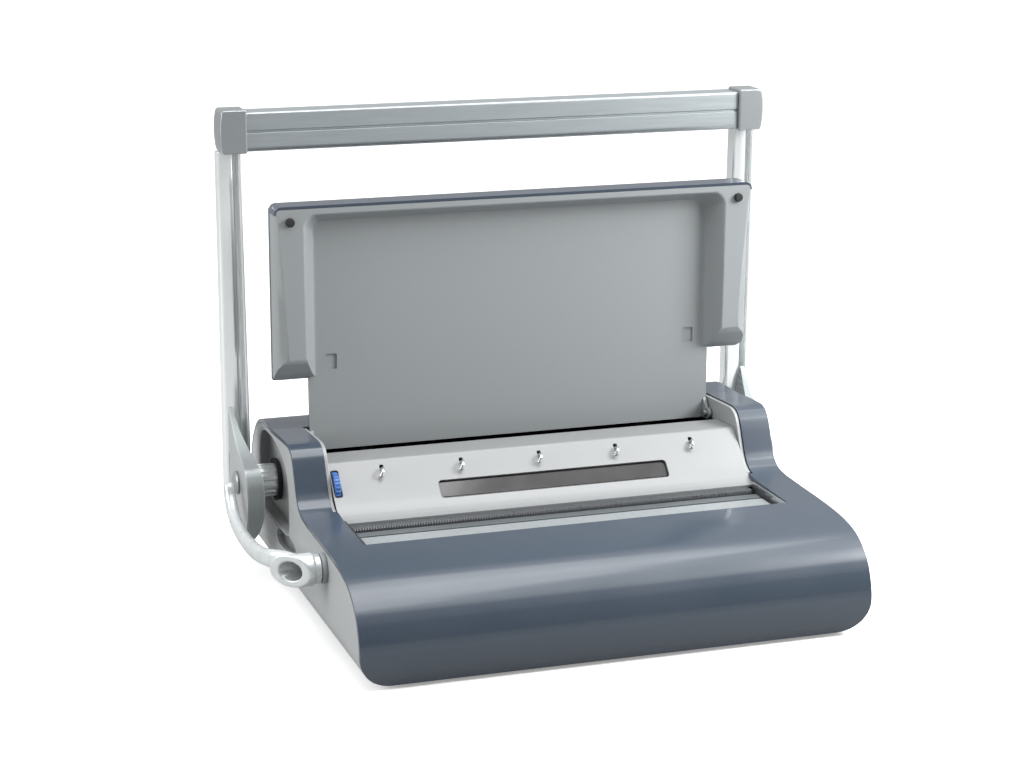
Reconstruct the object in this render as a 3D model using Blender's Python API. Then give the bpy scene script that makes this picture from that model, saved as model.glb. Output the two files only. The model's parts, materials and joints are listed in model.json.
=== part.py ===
# Wire binding machine: case, swinging lid, pull-down punch handle, side closing lever and their works.
# Lengths are metres. The front faces -Y and +Z is up.
import bpy
import bmesh
from math import acos, cos, pi, radians, sin, sqrt
from mathutils import Matrix, Vector

# Places from front to back, as shares of the case's depth
foot_front_share = 0.104348
foot_rear_share = 0.898551
channel_front_share = 0.269565
channel_rear_share = 0.471884
closer_bed_front_share = 0.321739
closer_plate_front_share = 0.231884
closer_plate_rear_share = 0.366667
closer_nose_rear_share = 0.404348
closer_fixed_share = 0.423188
panel_bend_share = 0.576812
throat_front_share = 0.681159
throat_rear_share = 0.696232
lever_axis_share = 0.284058
lid_hinge_share = 0.715942
lid_rear_share = 0.753623
lid_front_share = 0.692754
lid_floor_share = 0.73913
guide_step_share = 0.655072
tray_front_share = 0.568116
tray_rear_share = 0.724638

# Heights, as shares of the tower's height
deck_height_share = 0.625498
closer_bed_height_share = 0.398406
closer_bar_top_height_share = 0.570518
closer_fixed_top_height_share = 0.575299
panel_foot_height_share = 0.577689
panel_bend_height_share = 0.880478
ledge_rear_height_share = 0.864542
pin_height_share = 0.733068
die_bottom_height_share = 0.63745
die_top_height_share = 0.841434
die_step_height_share = 0.694821
stripper_top_height_share = 0.804781
sheet_rest_height_share = 0.685259
hub_axis_height_share = 0.621514
lever_axis_height_share = 0.486056
lid_tongue_bottom_height_share = 0.836653
guide_bottom_height_share = 0.736255
guide_top_height_share = 0.828685
tray_bottom_height_share = 0.189641
tray_top_height_share = 0.350598

# Case
body_half_width = 0.1994
body_depth = 0.345
tower_height = 0.1255
deck_height = tower_height * deck_height_share
wall = 0.003
fit_gap = 0.0003
tower_width = 0.0249
tower_inner_x = body_half_width - tower_width
case_edge_radius = 0.025
foot_height = 0.003
foot_radius = 0.009
foot_inset = 0.0594
foot_x = body_half_width - foot_inset
foot_front_y = body_depth * foot_front_share
foot_rear_y = body_depth * foot_rear_share
cheek_thickness = 0.0028
panel_side_gap = 0.0005
panel_half_width = tower_inner_x - fit_gap - cheek_thickness - panel_side_gap
cheek_drop = 0.0012
plate_thickness = 0.003
frame_plate_offset = 0.0085
frame_plate_x = tower_inner_x + frame_plate_offset
pan_rib_thickness = 0.0024

# Closer channel in the deck
channel_half_width = panel_half_width
channel_front_y = body_depth * channel_front_share
channel_rear_y = body_depth * channel_rear_share
closer_bed_z = tower_height * closer_bed_height_share
closer_bed_front_y = body_depth * closer_bed_front_share
closer_bed_thickness = 0.0026
closer_bar_end_gap = 0.0059
closer_bar_half_length = channel_half_width - closer_bar_end_gap
closer_plate_front_y = body_depth * closer_plate_front_share
closer_plate_rear_y = body_depth * closer_plate_rear_share
closer_plate_thickness = 0.0022
closer_groove_width = 0.0030
closer_groove_depth = 0.0050
closer_nose_rear_y = body_depth * closer_nose_rear_share
closer_nose_thickness = 0.0055
closer_lug_depth = 0.0080
closer_fixed_y = body_depth * closer_fixed_share
closer_fixed_depth = 0.0155
closer_bar_top_z = tower_height * closer_bar_top_height_share
closer_fixed_top_z = tower_height * closer_fixed_top_height_share
closer_travel = 0.006
closer_tooth_pitch = 0.008467
closer_tooth_width = 0.0024
closer_tooth_depth = 0.0012
closer_end_thickness = 0.0022

# Punch panel, throat and punch set
panel_foot_z = tower_height * panel_foot_height_share
panel_bend_y = body_depth * panel_bend_share
panel_bend_z = tower_height * panel_bend_height_share
throat_front_y = body_depth * throat_front_share
throat_rear_y = body_depth * throat_rear_share
ledge_rear_z = tower_height * ledge_rear_height_share
panel_thickness = 0.0020
window_left_x = 0.0810
window_right_x = 0.1045
window_height = 0.0160
window_centre_share = 0.397
window_corner = 0.004
pane_margin = 0.004
pane_thickness = 0.0012
hook_spacing_share = 0.379169
hook_spacing = panel_half_width * hook_spacing_share
hook_width = 0.0032
hook_reach = 0.0052
hook_gauge = 0.0012
hook_share = 0.725
pin_pitch = 0.008467
pin_side = 0.0040
pin_clearance = 0.00025
pin_z = tower_height * pin_height_share
die_depth = 0.0046
die_bottom_z = tower_height * die_bottom_height_share
die_top_z = tower_height * die_top_height_share
die_step_z = tower_height * die_step_height_share
die_step_inset = 0.0070
stripper_depth = 0.0038
stripper_top_z = tower_height * stripper_top_height_share
punch_travel = 0.011
punch_bar_depth = 0.0060
punch_bar_half_height = 0.0070
punch_bar_inset = 0.0185
punch_bar_half_length = tower_inner_x - punch_bar_inset
die_step_x = punch_bar_half_length - die_step_inset
pin_margin = 0.0140
pin_count = int((punch_bar_half_length - pin_margin) * 2 / pin_pitch) + 1
sheet_rest_z = tower_height * sheet_rest_height_share

# Drive
drive_cam_gap = 0.0022
hub_axis_z = tower_height * hub_axis_height_share
drive_shaft_radius = 0.0080
drive_cam_inset = 0.0360
drive_cam_x = punch_bar_half_length - drive_cam_inset
drive_cam_thickness = 0.0100
drive_cam_base = 0.0115
hub_axis_y = (throat_rear_y + stripper_depth + punch_travel + fit_gap + punch_bar_depth
              + drive_cam_base + drive_cam_gap)
drive_swing = 1.570796
collar_radius = 0.0140
collar_flute_depth = 0.0016
collar_flutes = 14
well_depth = 0.0095
well_wall = 0.0018
follower_width = 0.0120

# Handle
arm_side_gap = 0.0086
arm_width = 0.0210
arm_inner_x = body_half_width + arm_side_gap
arm_outer_x = arm_inner_x + arm_width
arm_set_back = 0.0280
arm_depth = 0.0200
arm_front_y = hub_axis_y + arm_set_back
arm_rear_y = arm_front_y + arm_depth
arm_drop = 0.0220
arm_bottom_z = hub_axis_z - arm_drop
arm_top_z = 0.3360
hub_inset = 0.0050
hub_outer_inset = 0.0010
hub_inner_x = arm_inner_x + hub_inset
hub_outer_x = arm_outer_x - hub_outer_inset
hub_radius = 0.0345
hub_bevel = 0.0016
grip_overhang = 0.0125
grip_depth = 0.0250
grip_front_y = arm_front_y - grip_overhang
grip_rear_y = grip_front_y + grip_depth
block_overhang = 0.0155
block_depth = 0.0360
block_height = 0.0372
block_front_y = arm_front_y - block_overhang
block_rear_y = block_front_y + block_depth
block_bottom_z = arm_top_z + fit_gap
block_top_z = block_bottom_z + block_height
grip_rise = 0.0037
grip_height = 0.0312
grip_bottom_z = block_bottom_z + grip_rise
grip_top_z = grip_bottom_z + grip_height
block_bevel = 0.0022

# Closing lever and its shaft
lever_axis_y = body_depth * lever_axis_share
lever_axis_z = tower_height * lever_axis_height_share
closing_shaft_radius = 0.0045
closing_cam_base = 0.0062
closing_cam_thickness = 0.0090
closing_cam_inset = 0.0550
closing_cam_x = closer_bar_half_length - closing_cam_inset
closing_swing = 1.658063
lever_stand_off = 0.0416
lever_outer_x = body_half_width + lever_stand_off
lever_arm_thickness = 0.0092
lever_barrel_radius = 0.0108
lever_ring_radius = 0.0122
lever_ring_bore = 0.0076
lever_ring_gap = 0.0096
lever_ring_length = 0.0160
lever_ring_inner_x = body_half_width + lever_ring_gap
lever_ring_outer_x = lever_ring_inner_x + lever_ring_length
lever_bush_height = 0.0034
lever_bush_radius = 0.0135
lever_reach = 0.1610
lever_tip_rise = 0.0200

# Lid
lid_hinge_y = body_depth * lid_hinge_share
hinge_lift = 0.0044
lid_hinge_z = die_top_z + hinge_lift
lid_half_width = body_half_width
lid_top_z = 0.3050
lid_step_z = 0.1640
lid_rear_y = body_depth * lid_rear_share
lid_front_y = body_depth * lid_front_share
lid_skin = 0.0020
tongue_side_gap = 0.0014
lid_tongue_half_width = tower_inner_x - fit_gap - cheek_thickness - tongue_side_gap
lid_tongue_bottom_z = tower_height * lid_tongue_bottom_height_share
lid_tray_thickness = 0.0022
lid_chamfer_rise = 0.0200
lid_floor_y = body_depth * lid_floor_share
wing_width = 0.0234
wing_bevel_width = 0.0120
wing_inner_x = lid_half_width - wing_width
wing_bevel_x = wing_inner_x - wing_bevel_width
bumper_radius = 0.0036
bumper_height = 0.0030
bumper_inset = 0.0123
bumper_x = lid_half_width - bumper_inset
bumper_z = 0.2928
hinge_pin_radius = 0.0030
hinge_pin_length = 0.0160
hinge_ear_radius = 0.0062
hinge_ear_width = 0.0060

# Edge guide and its wheel
wheel_inset = 0.0047
wheel_x = panel_half_width - wheel_inset
wheel_width = 0.0060
wheel_radius = 0.0120
wheel_ridge = 0.0007
wheel_ridges = 24
wheel_depth_below_panel = 0.0062
wheel_share = 0.64
wheel_spindle_radius = 0.0025
wheel_spindle_length = 0.0280
guide_offset = 0.0100
guide_x = wheel_x - guide_offset
guide_width = 0.0055
guide_bottom_z = tower_height * guide_bottom_height_share
guide_step_y = body_depth * guide_step_share
guide_top_z = tower_height * guide_top_height_share

# Chip tray
tray_front_y = body_depth * tray_front_share
tray_rear_y = body_depth * tray_rear_share
tray_bottom_z = tower_height * tray_bottom_height_share
tray_top_z = tower_height * tray_top_height_share
tray_left_x = punch_bar_half_length
tray_wall = 0.0018
pan_rib_height = tray_bottom_z - wall - fit_gap
tray_pull_depth = 0.0080

cover_path_shares = (
    (0.0174, 0.0000), (0.0099, 0.0478), (0.0043, 0.1036), (0.0012, 0.1594), (0.0000, 0.2151),
    (0.0026, 0.2709), (0.0087, 0.3267), (0.0174, 0.3825), (0.0304, 0.4382), (0.0478, 0.4861),
    (0.0696, 0.5283), (0.0957, 0.5602), (0.1275, 0.5833), (0.1652, 0.5992), (0.2174, 0.6104),
    (0.2899, 0.6183), (0.3768, 0.6239), (0.4493, 0.6303), (0.4841, 0.6406), (0.5043, 0.6598),
    (0.5188, 0.6900), (0.5290, 0.7307), (0.5420, 0.8088), (0.5551, 0.8884), (0.5661, 0.9426),
    (0.5806, 0.9809), (0.6000, 0.9984), (0.6203, 1.0000), (0.7594, 0.9801),
)
rear_path_shares = (
    (0.7612, 0.9793), (0.8580, 0.9769), (0.8870, 0.9602), (0.9130, 0.9283), (0.9362, 0.8805),
    (0.9594, 0.8088), (0.9783, 0.7211), (0.9899, 0.6135), (0.9965, 0.4382), (1.0000, 0.2390),
    (0.9988, 0.1116), (0.9913, 0.0398), (0.9739, 0.0000),
)
frame_plate_shares = (
    (0.2029, 0.0558), (0.2261, 0.5259), (0.3188, 0.5737), (0.4638, 0.5896), (0.4942, 0.5976),
    (0.5174, 0.6295), (0.5333, 0.6853), (0.5420, 0.7267), (0.5681, 0.8845), (0.5797, 0.9283),
    (0.5971, 0.9530), (0.6203, 0.9610), (0.7594, 0.9371), (0.8406, 0.9203), (0.8783, 0.8964),
    (0.9101, 0.8446), (0.9391, 0.7570), (0.9594, 0.6375), (0.9681, 0.4781), (0.9710, 0.0558),
)
panel_foot_shares = (
    (0.7789, 0.6715), (0.8015, 0.6814), (0.8266, 0.7014), (0.8508, 0.7285), (0.8734, 0.7629),
    (0.8965, 0.8045),
)
well_outline_shares = (
    (0.6000, 0.4781), (0.6087, 0.4143), (0.6261, 0.3873), (0.6551, 0.3785), (0.8580, 0.3785),
    (0.8812, 0.3984), (0.8928, 0.4542), (0.8928, 0.7809), (0.8841, 0.8606), (0.8638, 0.9124),
    (0.8348, 0.9371), (0.7768, 0.9418), (0.7246, 0.9307), (0.6783, 0.9020), (0.6406, 0.8542),
    (0.6145, 0.7849), (0.6014, 0.6853),
)
lever_path_shares = (
    (0.0584, 0.0300), (0.1056, 0.0900), (0.1863, 0.0400), (0.3106, -0.1100), (0.4783, -0.2800),
    (0.6460, -0.3400), (0.7826, -0.2500), (0.8820, -0.0400), (0.9441, 0.2500), (0.9814, 0.6000),
    (1.0000, 1.0000),
)
lever_side_shares = (0.74, 0.90, 0.98, 1.0, 1.0, 1.0, 1.0, 1.0, 1.0, 1.0, 1.0)
lever_width_shares = (0.86, 0.92, 0.98, 1.0, 1.0, 1.0, 1.0, 1.0, 0.98, 0.94, 0.80)
lever_width = 0.0098
grip_section_shares = (
    (0.10, 0.0), (0.30, 0.0), (0.70, 0.0), (0.90, 0.02), (1.0, 0.16), (1.0, 0.86), (0.94, 0.97),
    (0.84, 1.0), (0.12, 1.0), (0.03, 0.97), (0.0, 0.90), (0.0, 0.62), (0.05, 0.60), (0.09, 0.56),
    (0.09, 0.52), (0.05, 0.48), (0.0, 0.46), (0.0, 0.16), (0.03, 0.05),
)
flute_share = 0.5
collar_flute_shares = ((0, 0), (0.42, 0), (0.56, 1), (0.86, 1))
arm_section_shares = (
    (0, 0.10), (0.06, 0), (0.22, 0), (0.28, 0.06), (0.28, 0.14), (0.36, 0.14), (0.36, 0.06), (0.42, 0),
    (0.60, 0), (0.66, 0.06), (0.66, 0.14), (0.74, 0.14), (0.74, 0.06), (0.80, 0), (0.94, 0), (1, 0.10),
    (1, 0.90), (0.92, 1), (0.08, 1), (0, 0.90),
)
wing_ramp_share = 0.72
wedge_rise_share = 0.24
hub_flare_share = 2.15
hub_bend_shares = (-0.05, 1.15)


def shares_to_points(shares, first_length, second_length):
    return [(a * first_length, b * second_length) for a, b in shares]


def offset_path(points, distance):
    """Path moved sideways by distance, to the right of its direction when distance is positive."""
    moved = []
    last = len(points) - 1
    for index, point in enumerate(points):
        here = Vector(point)
        before = Vector(points[max(index - 1, 0)])
        after = Vector(points[min(index + 1, last)])
        into = (here - before).normalized() if index > 0 else (after - here).normalized()
        out = (after - here).normalized() if index < last else into
        normal_in = Vector((into.y, -into.x))
        normal_out = Vector((out.y, -out.x))
        mitre = (normal_in + normal_out).normalized()
        moved.append(tuple(here + mitre * (distance / mitre.dot(normal_in))))
    return moved


def offset_loop(points, distance):
    """Closed outline moved sideways: outwards when distance is positive and it runs anticlockwise."""
    return offset_path([points[-1]] + points + [points[0]], distance)[1:-1]


def arc_points(centre, radius, start, end, steps):
    return [
        (centre[0] + radius * cos(start + (end - start) * step / steps),
         centre[1] + radius * sin(start + (end - start) * step / steps))
        for step in range(steps + 1)
    ]


def circle_points(centre, radius, sides):
    return [
        (centre[0] + radius * cos(2 * pi * side / sides), centre[1] + radius * sin(2 * pi * side / sides))
        for side in range(sides)
    ]


def clear_scene():
    for item in list(bpy.data.objects):
        bpy.data.objects.remove(item, do_unlink=True)
    for mesh in list(bpy.data.meshes):
        bpy.data.meshes.remove(mesh)
    for existing in list(bpy.data.materials):
        bpy.data.materials.remove(existing)


def make_material(name, colour, roughness, metallic):
    made = bpy.data.materials.new(name)
    made.use_nodes = True
    shader = made.node_tree.nodes["Principled BSDF"]
    shader.inputs["Base Color"].default_value = (*colour, 1.0)
    shader.inputs["Roughness"].default_value = roughness
    shader.inputs["Metallic"].default_value = metallic
    made.diffuse_color = (*colour, 1.0)
    return made


def object_from_bmesh(name, shape):
    bmesh.ops.recalc_face_normals(shape, faces=shape.faces)
    mesh = bpy.data.meshes.new(name)
    shape.to_mesh(mesh)
    shape.free()
    made = bpy.data.objects.new(name, mesh)
    bpy.context.scene.collection.objects.link(made)
    return made


AXIS_MAPS = {
    "x": lambda a, b, c: (c, a, b),
    "y": lambda a, b, c: (a, c, b),
    "z": lambda a, b, c: (a, b, c),
}


def prism(name, axis, outline, start, end):
    """Closed outline extruded along one axis. The outline's two numbers are the other two axes in order."""
    place = AXIS_MAPS[axis]
    shape = bmesh.new()
    corners = [shape.verts.new(place(a, b, start)) for a, b in outline]
    face = shape.faces.new(corners)
    grown = bmesh.ops.extrude_face_region(shape, geom=[face])
    moved = [item for item in grown["geom"] if isinstance(item, bmesh.types.BMVert)]
    bmesh.ops.translate(shape, verts=moved, vec=Vector(place(0, 0, end - start)))
    return object_from_bmesh(name, shape)


def box(name, low, high):
    outline = [(low[0], low[1]), (high[0], low[1]), (high[0], high[1]), (low[0], high[1])]
    return prism(name, "z", outline, low[2], high[2])


def rod_x(name, centre, radius, start, end, sides=24):
    return prism(name, "x", circle_points(centre, radius, sides), start, end)


def apply_modifiers(target):
    depsgraph = bpy.context.evaluated_depsgraph_get()
    finished = bpy.data.meshes.new_from_object(target.evaluated_get(depsgraph))
    target.modifiers.clear()
    target.data = finished
    return target


def combine(target, other, operation):
    """Boolean with the exact solver. The other object is used up."""
    step = target.modifiers.new("Boolean", "BOOLEAN")
    step.operation = operation
    step.solver = "EXACT"
    step.object = other
    apply_modifiers(target)
    bpy.data.objects.remove(other, do_unlink=True)
    return target


def cut(target, *cutters):
    for cutter in cutters:
        combine(target, cutter, "DIFFERENCE")
    return target


def fuse(target, *others):
    for other in others:
        combine(target, other, "UNION")
    return target


def gather(name, objects):
    """Separate closed shapes put in one object, for use as one cutter or one addition."""
    shape = bmesh.new()
    for item in objects:
        shape.from_mesh(item.data)
        bpy.data.objects.remove(item, do_unlink=True)
    return object_from_bmesh(name, shape)


def round_edges(target, width, segments=2, angle=radians(40)):
    step = target.modifiers.new("Bevel", "BEVEL")
    step.width = width
    step.segments = segments
    step.limit_method = "ANGLE"
    step.angle_limit = angle
    return apply_modifiers(target)


def sweep(name, centres, half_sizes, directions, sides):
    """Oval tube through centres. Each direction is the tube's travel in the side view."""
    shape = bmesh.new()
    rings = []
    for centre, (half_x, half_n), travel in zip(centres, half_sizes, directions):
        normal = Vector((0, -travel[1], travel[0])).normalized()
        across = Vector((1, 0, 0))
        ring = []
        for side in range(sides):
            turn = 2 * pi * side / sides
            ring.append(shape.verts.new(
                Vector(centre) + across * (half_x * cos(turn)) + normal * (half_n * sin(turn))))
        rings.append(ring)
    for first, second in zip(rings, rings[1:]):
        for side in range(sides):
            follow = (side + 1) % sides
            shape.faces.new((first[side], first[follow], second[follow], second[side]))
    shape.faces.new(rings[0][::-1])
    shape.faces.new(rings[-1])
    return object_from_bmesh(name, shape)


def finish(target, material, pivot=(0, 0, 0), smooth=False):
    """Give the object its material and put its origin on the pivot."""
    target.data.materials.clear()
    target.data.materials.append(material)
    target.data.transform(Matrix.Translation(-Vector(pivot)))
    target.location = pivot
    for face in target.data.polygons:
        face.use_smooth = smooth
        face.material_index = 0
    return target


def case_section(inset):
    """Front view of the case: straight sides and rounded lower edges, moved inwards by inset."""
    half = body_half_width - inset
    radius = case_edge_radius - inset
    middle_z = case_edge_radius
    top = tower_height * 2
    left = arc_points((-half + radius, middle_z), radius, pi, pi * 1.5, 6)
    right = arc_points((half - radius, middle_z), radius, pi * 1.5, pi * 2, 6)
    return [(-half, top)] + left + right + [(half, top)]


def cover_path():
    return shares_to_points(cover_path_shares, body_depth, tower_height)


def rear_path():
    return shares_to_points(rear_path_shares, body_depth, tower_height)


def flat_ended(path):
    """Path whose two ends are put back at floor level."""
    return [(path[0][0], 0)] + path[1:-1] + [(path[-1][0], 0)]


def mirror_names(base, maker):
    return [maker(base + "_left", -1), maker(base + "_right", 1)]


def make_top_cover(material):
    outer = cover_path()
    inner = offset_path(outer, wall)
    inner[0] = (inner[0][0], 0)
    cover = prism("top_cover", "x", outer + inner[::-1], -body_half_width, body_half_width)
    shape = prism("case_shape", "y", case_section(0), -body_depth, body_depth * 2)
    combine(cover, shape, "INTERSECT")
    opening = box("opening", (-tower_inner_x, channel_rear_y + wall, 0),
                  (tower_inner_x, body_depth, tower_height * 2))
    channel = box("channel", (-channel_half_width, channel_front_y, 0),
                  (channel_half_width, channel_rear_y + wall * 2, tower_height * 2))
    cut(cover, opening, channel)
    return finish(cover, material, smooth=False)


def make_rear_cover(material):
    outer = rear_path()
    inner = offset_path(outer, wall)
    inner[-1] = (inner[-1][0], 0)
    cover = prism("rear_cover", "x", outer + inner[::-1], -body_half_width, body_half_width)
    combine(cover, prism("case_shape", "y", case_section(0), 0, body_depth * 2), "INTERSECT")
    return finish(cover, material)


def make_side_panel(name, side, material):
    inner = offset_path(cover_path() + rear_path(), wall + fit_gap)
    inner = flat_ended(inner)
    panel = prism(name, "y", case_section(0), 0, body_depth)
    hollow = prism("hollow", "y", case_section(wall), -body_depth, body_depth * 2)
    cut(panel, hollow)
    middle = box("middle", (-body_half_width + case_edge_radius, -body_depth, -tower_height),
                 (body_half_width + body_half_width, body_depth * 2, tower_height * 3))
    cut(panel, middle)
    combine(panel, prism("inside", "x", inner, -body_half_width * 2, body_half_width * 2), "INTERSECT")
    if side > 0:
        panel.data.transform(Matrix.Scale(-1, 4, (1, 0, 0)))
        panel.data.flip_normals()
    outer_x = side * (body_half_width + wall)
    inner_x = side * (body_half_width - wall * 3)
    cut(panel, prism("well_hole", "x", offset_loop(well_outline(), fit_gap),
                     min(outer_x, inner_x), max(outer_x, inner_x)))
    if side < 0:
        cut(panel, rod_x("lever_hole", (lever_axis_y, lever_axis_z), lever_bush_radius - wall,
                         outer_x, inner_x, 24))
    else:
        cut(panel, box("tray_hole",
                       (inner_x, tray_front_y - fit_gap, tray_bottom_z - fit_gap),
                       (outer_x, tray_rear_y + fit_gap, tray_top_z + fit_gap)))
    return finish(panel, material)


def well_outline():
    return shares_to_points(well_outline_shares, body_depth, tower_height)


def make_well(name, side, material):
    floor_x = body_half_width - well_depth
    centre = (hub_axis_y, hub_axis_z)
    low, high = sorted((side * floor_x, side * body_half_width))
    cup = prism(name, "x", well_outline(), low, high)
    edge_x = body_half_width + wall
    low, high = sorted((side * (floor_x + well_wall), side * edge_x))
    cut(cup, prism("inside", "x", offset_loop(well_outline(), -well_wall), low, high))
    bore_low, bore_high = sorted((side * (floor_x - wall), side * edge_x))
    cut(cup, rod_x("bore", centre, drive_shaft_radius + fit_gap * 2, bore_low, bore_high, 24))
    return finish(cup, material)


def make_cheek(name, side, material):
    path = offset_path(cover_path(), cheek_drop)
    start = channel_rear_y + wall * 2
    top = [point for point in path if point[0] > start]
    slope_y = panel_bend_y - channel_rear_y
    slope_z = panel_bend_z - panel_foot_z
    under = wall
    bottom = [
        (top[-1][0], die_top_z + fit_gap * 2),
        (panel_bend_y + under, die_top_z + fit_gap * 2),
        (top[0][0], panel_foot_z + slope_z * (top[0][0] - channel_rear_y) / slope_y - under * 2),
    ]
    outer_x = tower_inner_x - fit_gap
    low, high = sorted((side * outer_x, side * (outer_x - cheek_thickness)))
    cheek = prism(name, "x", top + bottom, low, high)
    cut(cheek, rod_x("pin_hole", (lid_hinge_y, lid_hinge_z), hinge_pin_radius + fit_gap,
                     low - wall, high + wall, 20))
    return finish(cheek, material)


def make_frame_plate(name, side, material):
    outline = shares_to_points(frame_plate_shares, body_depth, tower_height)
    low, high = sorted((side * frame_plate_x, side * (frame_plate_x + plate_thickness)))
    plate = prism(name, "x", outline, low, high)
    cut(plate, rod_x("drive_hole", (hub_axis_y, hub_axis_z), drive_shaft_radius + fit_gap,
                     low - wall, high + wall))
    cut(plate, rod_x("closing_hole", (lever_axis_y, lever_axis_z), closing_shaft_radius + fit_gap,
                     low - wall, high + wall))
    if side > 0:
        cut(plate, box("tray_hole", (low - wall, tray_front_y - fit_gap * 3, tray_bottom_z - fit_gap),
                       (high + wall, tray_rear_y + fit_gap * 3, tray_top_z + fit_gap * 3)))
    else:
        cut(plate, box("light_hole", (low - wall, tray_front_y, tray_bottom_z),
                       (high + wall, tray_rear_y, tray_top_z)))
    return finish(plate, material)


def make_base_pan(material):
    half = body_half_width - case_edge_radius - fit_gap
    front = cover_path()[0][0] + wall + fit_gap * 4
    rear = rear_path()[-1][0] - wall - fit_gap * 4
    pan = box("base_pan", (-half, front, 0), (half, rear, wall))
    ribs = []
    for rib_y in (front + wall, tray_front_y + wall * 4, tray_rear_y - wall * 4, rear - wall * 2):
        ribs.append(box("rib", (-half + wall, rib_y, wall * 0.5),
                        (half - wall, rib_y + pan_rib_thickness, wall + pan_rib_height - fit_gap)))
    for side in (-1, 1):
        low, high = sorted((side * (half - wall), side * (half - wall - pan_rib_thickness)))
        ribs.append(box("rib", (low, front + wall, wall * 0.5),
                        (high, rear - wall, wall + pan_rib_height * 0.5)))
    fuse(pan, *ribs)
    return finish(pan, material)


def make_foot(name, side, foot_y, material):
    foot = prism(name, "z", circle_points((side * foot_x, foot_y), foot_radius, 20),
                 -foot_height, -fit_gap)
    return finish(foot, material, smooth=False)


def panel_point(share, out=0):
    """Point on the sloping panel: share 0 at its foot, 1 at the bend, moved out along the face's normal."""
    run_y = panel_bend_y - channel_rear_y
    run_z = panel_bend_z - panel_foot_z
    length = sqrt(run_y * run_y + run_z * run_z)
    return (channel_rear_y + run_y * share - out * run_z / length,
            panel_foot_z + run_z * share + out * run_y / length)


def panel_block(name, low_x, high_x, share, half_length, low_out, high_out):
    """Box lying on the sloping panel."""
    run_y = panel_bend_y - channel_rear_y
    run_z = panel_bend_z - panel_foot_z
    length = sqrt(run_y * run_y + run_z * run_z)
    step = half_length / length
    outline = [panel_point(share - step, low_out), panel_point(share + step, low_out),
               panel_point(share + step, high_out), panel_point(share - step, high_out)]
    return prism(name, "x", outline, low_x, high_x)


def panel_foot():
    """Outer points of the panel's lower edge, from its lip up to where it runs straight."""
    return shares_to_points(panel_foot_shares, panel_bend_y, panel_bend_z)


def make_punch_panel(material):
    outer = panel_foot() + [
        panel_point(0.94), (panel_bend_y + wall * 0.6, panel_bend_z - wall * 0.08),
        (throat_front_y - wall, ledge_rear_z), (throat_front_y - wall * 0.3, ledge_rear_z - wall * 0.3),
        (throat_front_y, ledge_rear_z - wall),
    ]
    inner = offset_path(outer, panel_thickness)
    outer[-1] = (outer[-1][0], die_top_z + fit_gap)
    inner[-1] = (inner[-1][0], die_top_z + fit_gap)
    panel = prism("punch_panel", "x", outer + inner[::-1], -panel_half_width, panel_half_width)
    window = panel_block("window", -window_left_x, window_right_x, window_centre_share,
                         window_height * 0.5, -wall * 2, wall * 2)
    round_window_corners(window)
    wheel_slot = panel_block("wheel_slot", -wheel_x - wheel_width * 0.5 - fit_gap * 2,
                             -wheel_x + wheel_width * 0.5 + fit_gap * 2, wheel_share,
                             wheel_slot_half_length(), -wall * 2, wall * 2)
    cut(panel, window, wheel_slot)
    return finish(panel, material)


def wheel_slot_half_length():
    """Half the wheel's chord at the panel's inner face, and a gap."""
    depth = wheel_depth_below_panel - panel_thickness
    return sqrt(wheel_radius ** 2 - depth ** 2) + fit_gap


def round_window_corners(window):
    """Round the four edges of the window cutter that run through the panel."""
    shape = bmesh.new()
    shape.from_mesh(window.data)
    through = Vector((0, *panel_point(0, 1))) - Vector((0, *panel_point(0, 0)))
    edges = [edge for edge in shape.edges
             if (edge.verts[0].co - edge.verts[1].co).normalized().cross(through).length < 0.01]
    bmesh.ops.bevel(shape, geom=edges, offset=window_corner, segments=4, profile=0.5, affect="EDGES")
    shape.to_mesh(window.data)
    shape.free()


def make_window_pane(material):
    low_out = -panel_thickness - fit_gap - pane_thickness
    pane = panel_block("window_pane", -window_left_x - pane_margin, window_right_x + pane_margin,
                       window_centre_share, window_height * 0.5 + pane_margin, low_out,
                       -panel_thickness - fit_gap)
    return finish(pane, material)


def make_wire_hook(index, material):
    name = "wire_hook_%d" % index
    centre_x = (index - 3) * hook_spacing
    low, high = centre_x - hook_width * 0.5, centre_x + hook_width * 0.5
    run = hook_reach / sqrt((panel_bend_y - channel_rear_y) ** 2 + (panel_bend_z - panel_foot_z) ** 2)
    base = fit_gap + hook_gauge
    outline = [
        panel_point(hook_share + run * 0.55, fit_gap), panel_point(hook_share + run * 0.55, base),
        panel_point(hook_share + run * 0.10, hook_reach * 0.48),
        panel_point(hook_share - run * 0.25, hook_reach * 0.66),
        panel_point(hook_share - run * 0.60, hook_reach * 0.60),
        panel_point(hook_share - run * 0.72, hook_reach * 0.36),
        panel_point(hook_share - run * 0.55, hook_reach * 0.30),
        panel_point(hook_share - run * 0.42, hook_reach * 0.42),
        panel_point(hook_share - run * 0.20, hook_reach * 0.42), panel_point(hook_share - run * 0.05, base),
        panel_point(hook_share - run * 0.85, fit_gap + hook_gauge * 0.8),
        panel_point(hook_share - run * 0.85, fit_gap),
    ]
    return finish(prism(name, "x", outline, low, high), material)


def pin_positions():
    return [(index - (pin_count - 1) * 0.5) * pin_pitch for index in range(pin_count)]


def pin_cutters(low_y, high_y, extra):
    half = pin_side * 0.5 + extra
    return gather("pins", [box("pin", (x - half, low_y, pin_z - half), (x + half, high_y, pin_z + half))
                           for x in pin_positions()])


def stepped_plate(name, low_y, high_y, top_z):
    outer = frame_plate_x - fit_gap
    outline = [(-outer, die_bottom_z), (outer, die_bottom_z), (outer, die_step_z), (die_step_x, die_step_z),
               (die_step_x, top_z), (-die_step_x, top_z), (-die_step_x, die_step_z), (-outer, die_step_z)]
    return prism(name, "y", outline, low_y, high_y)


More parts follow.
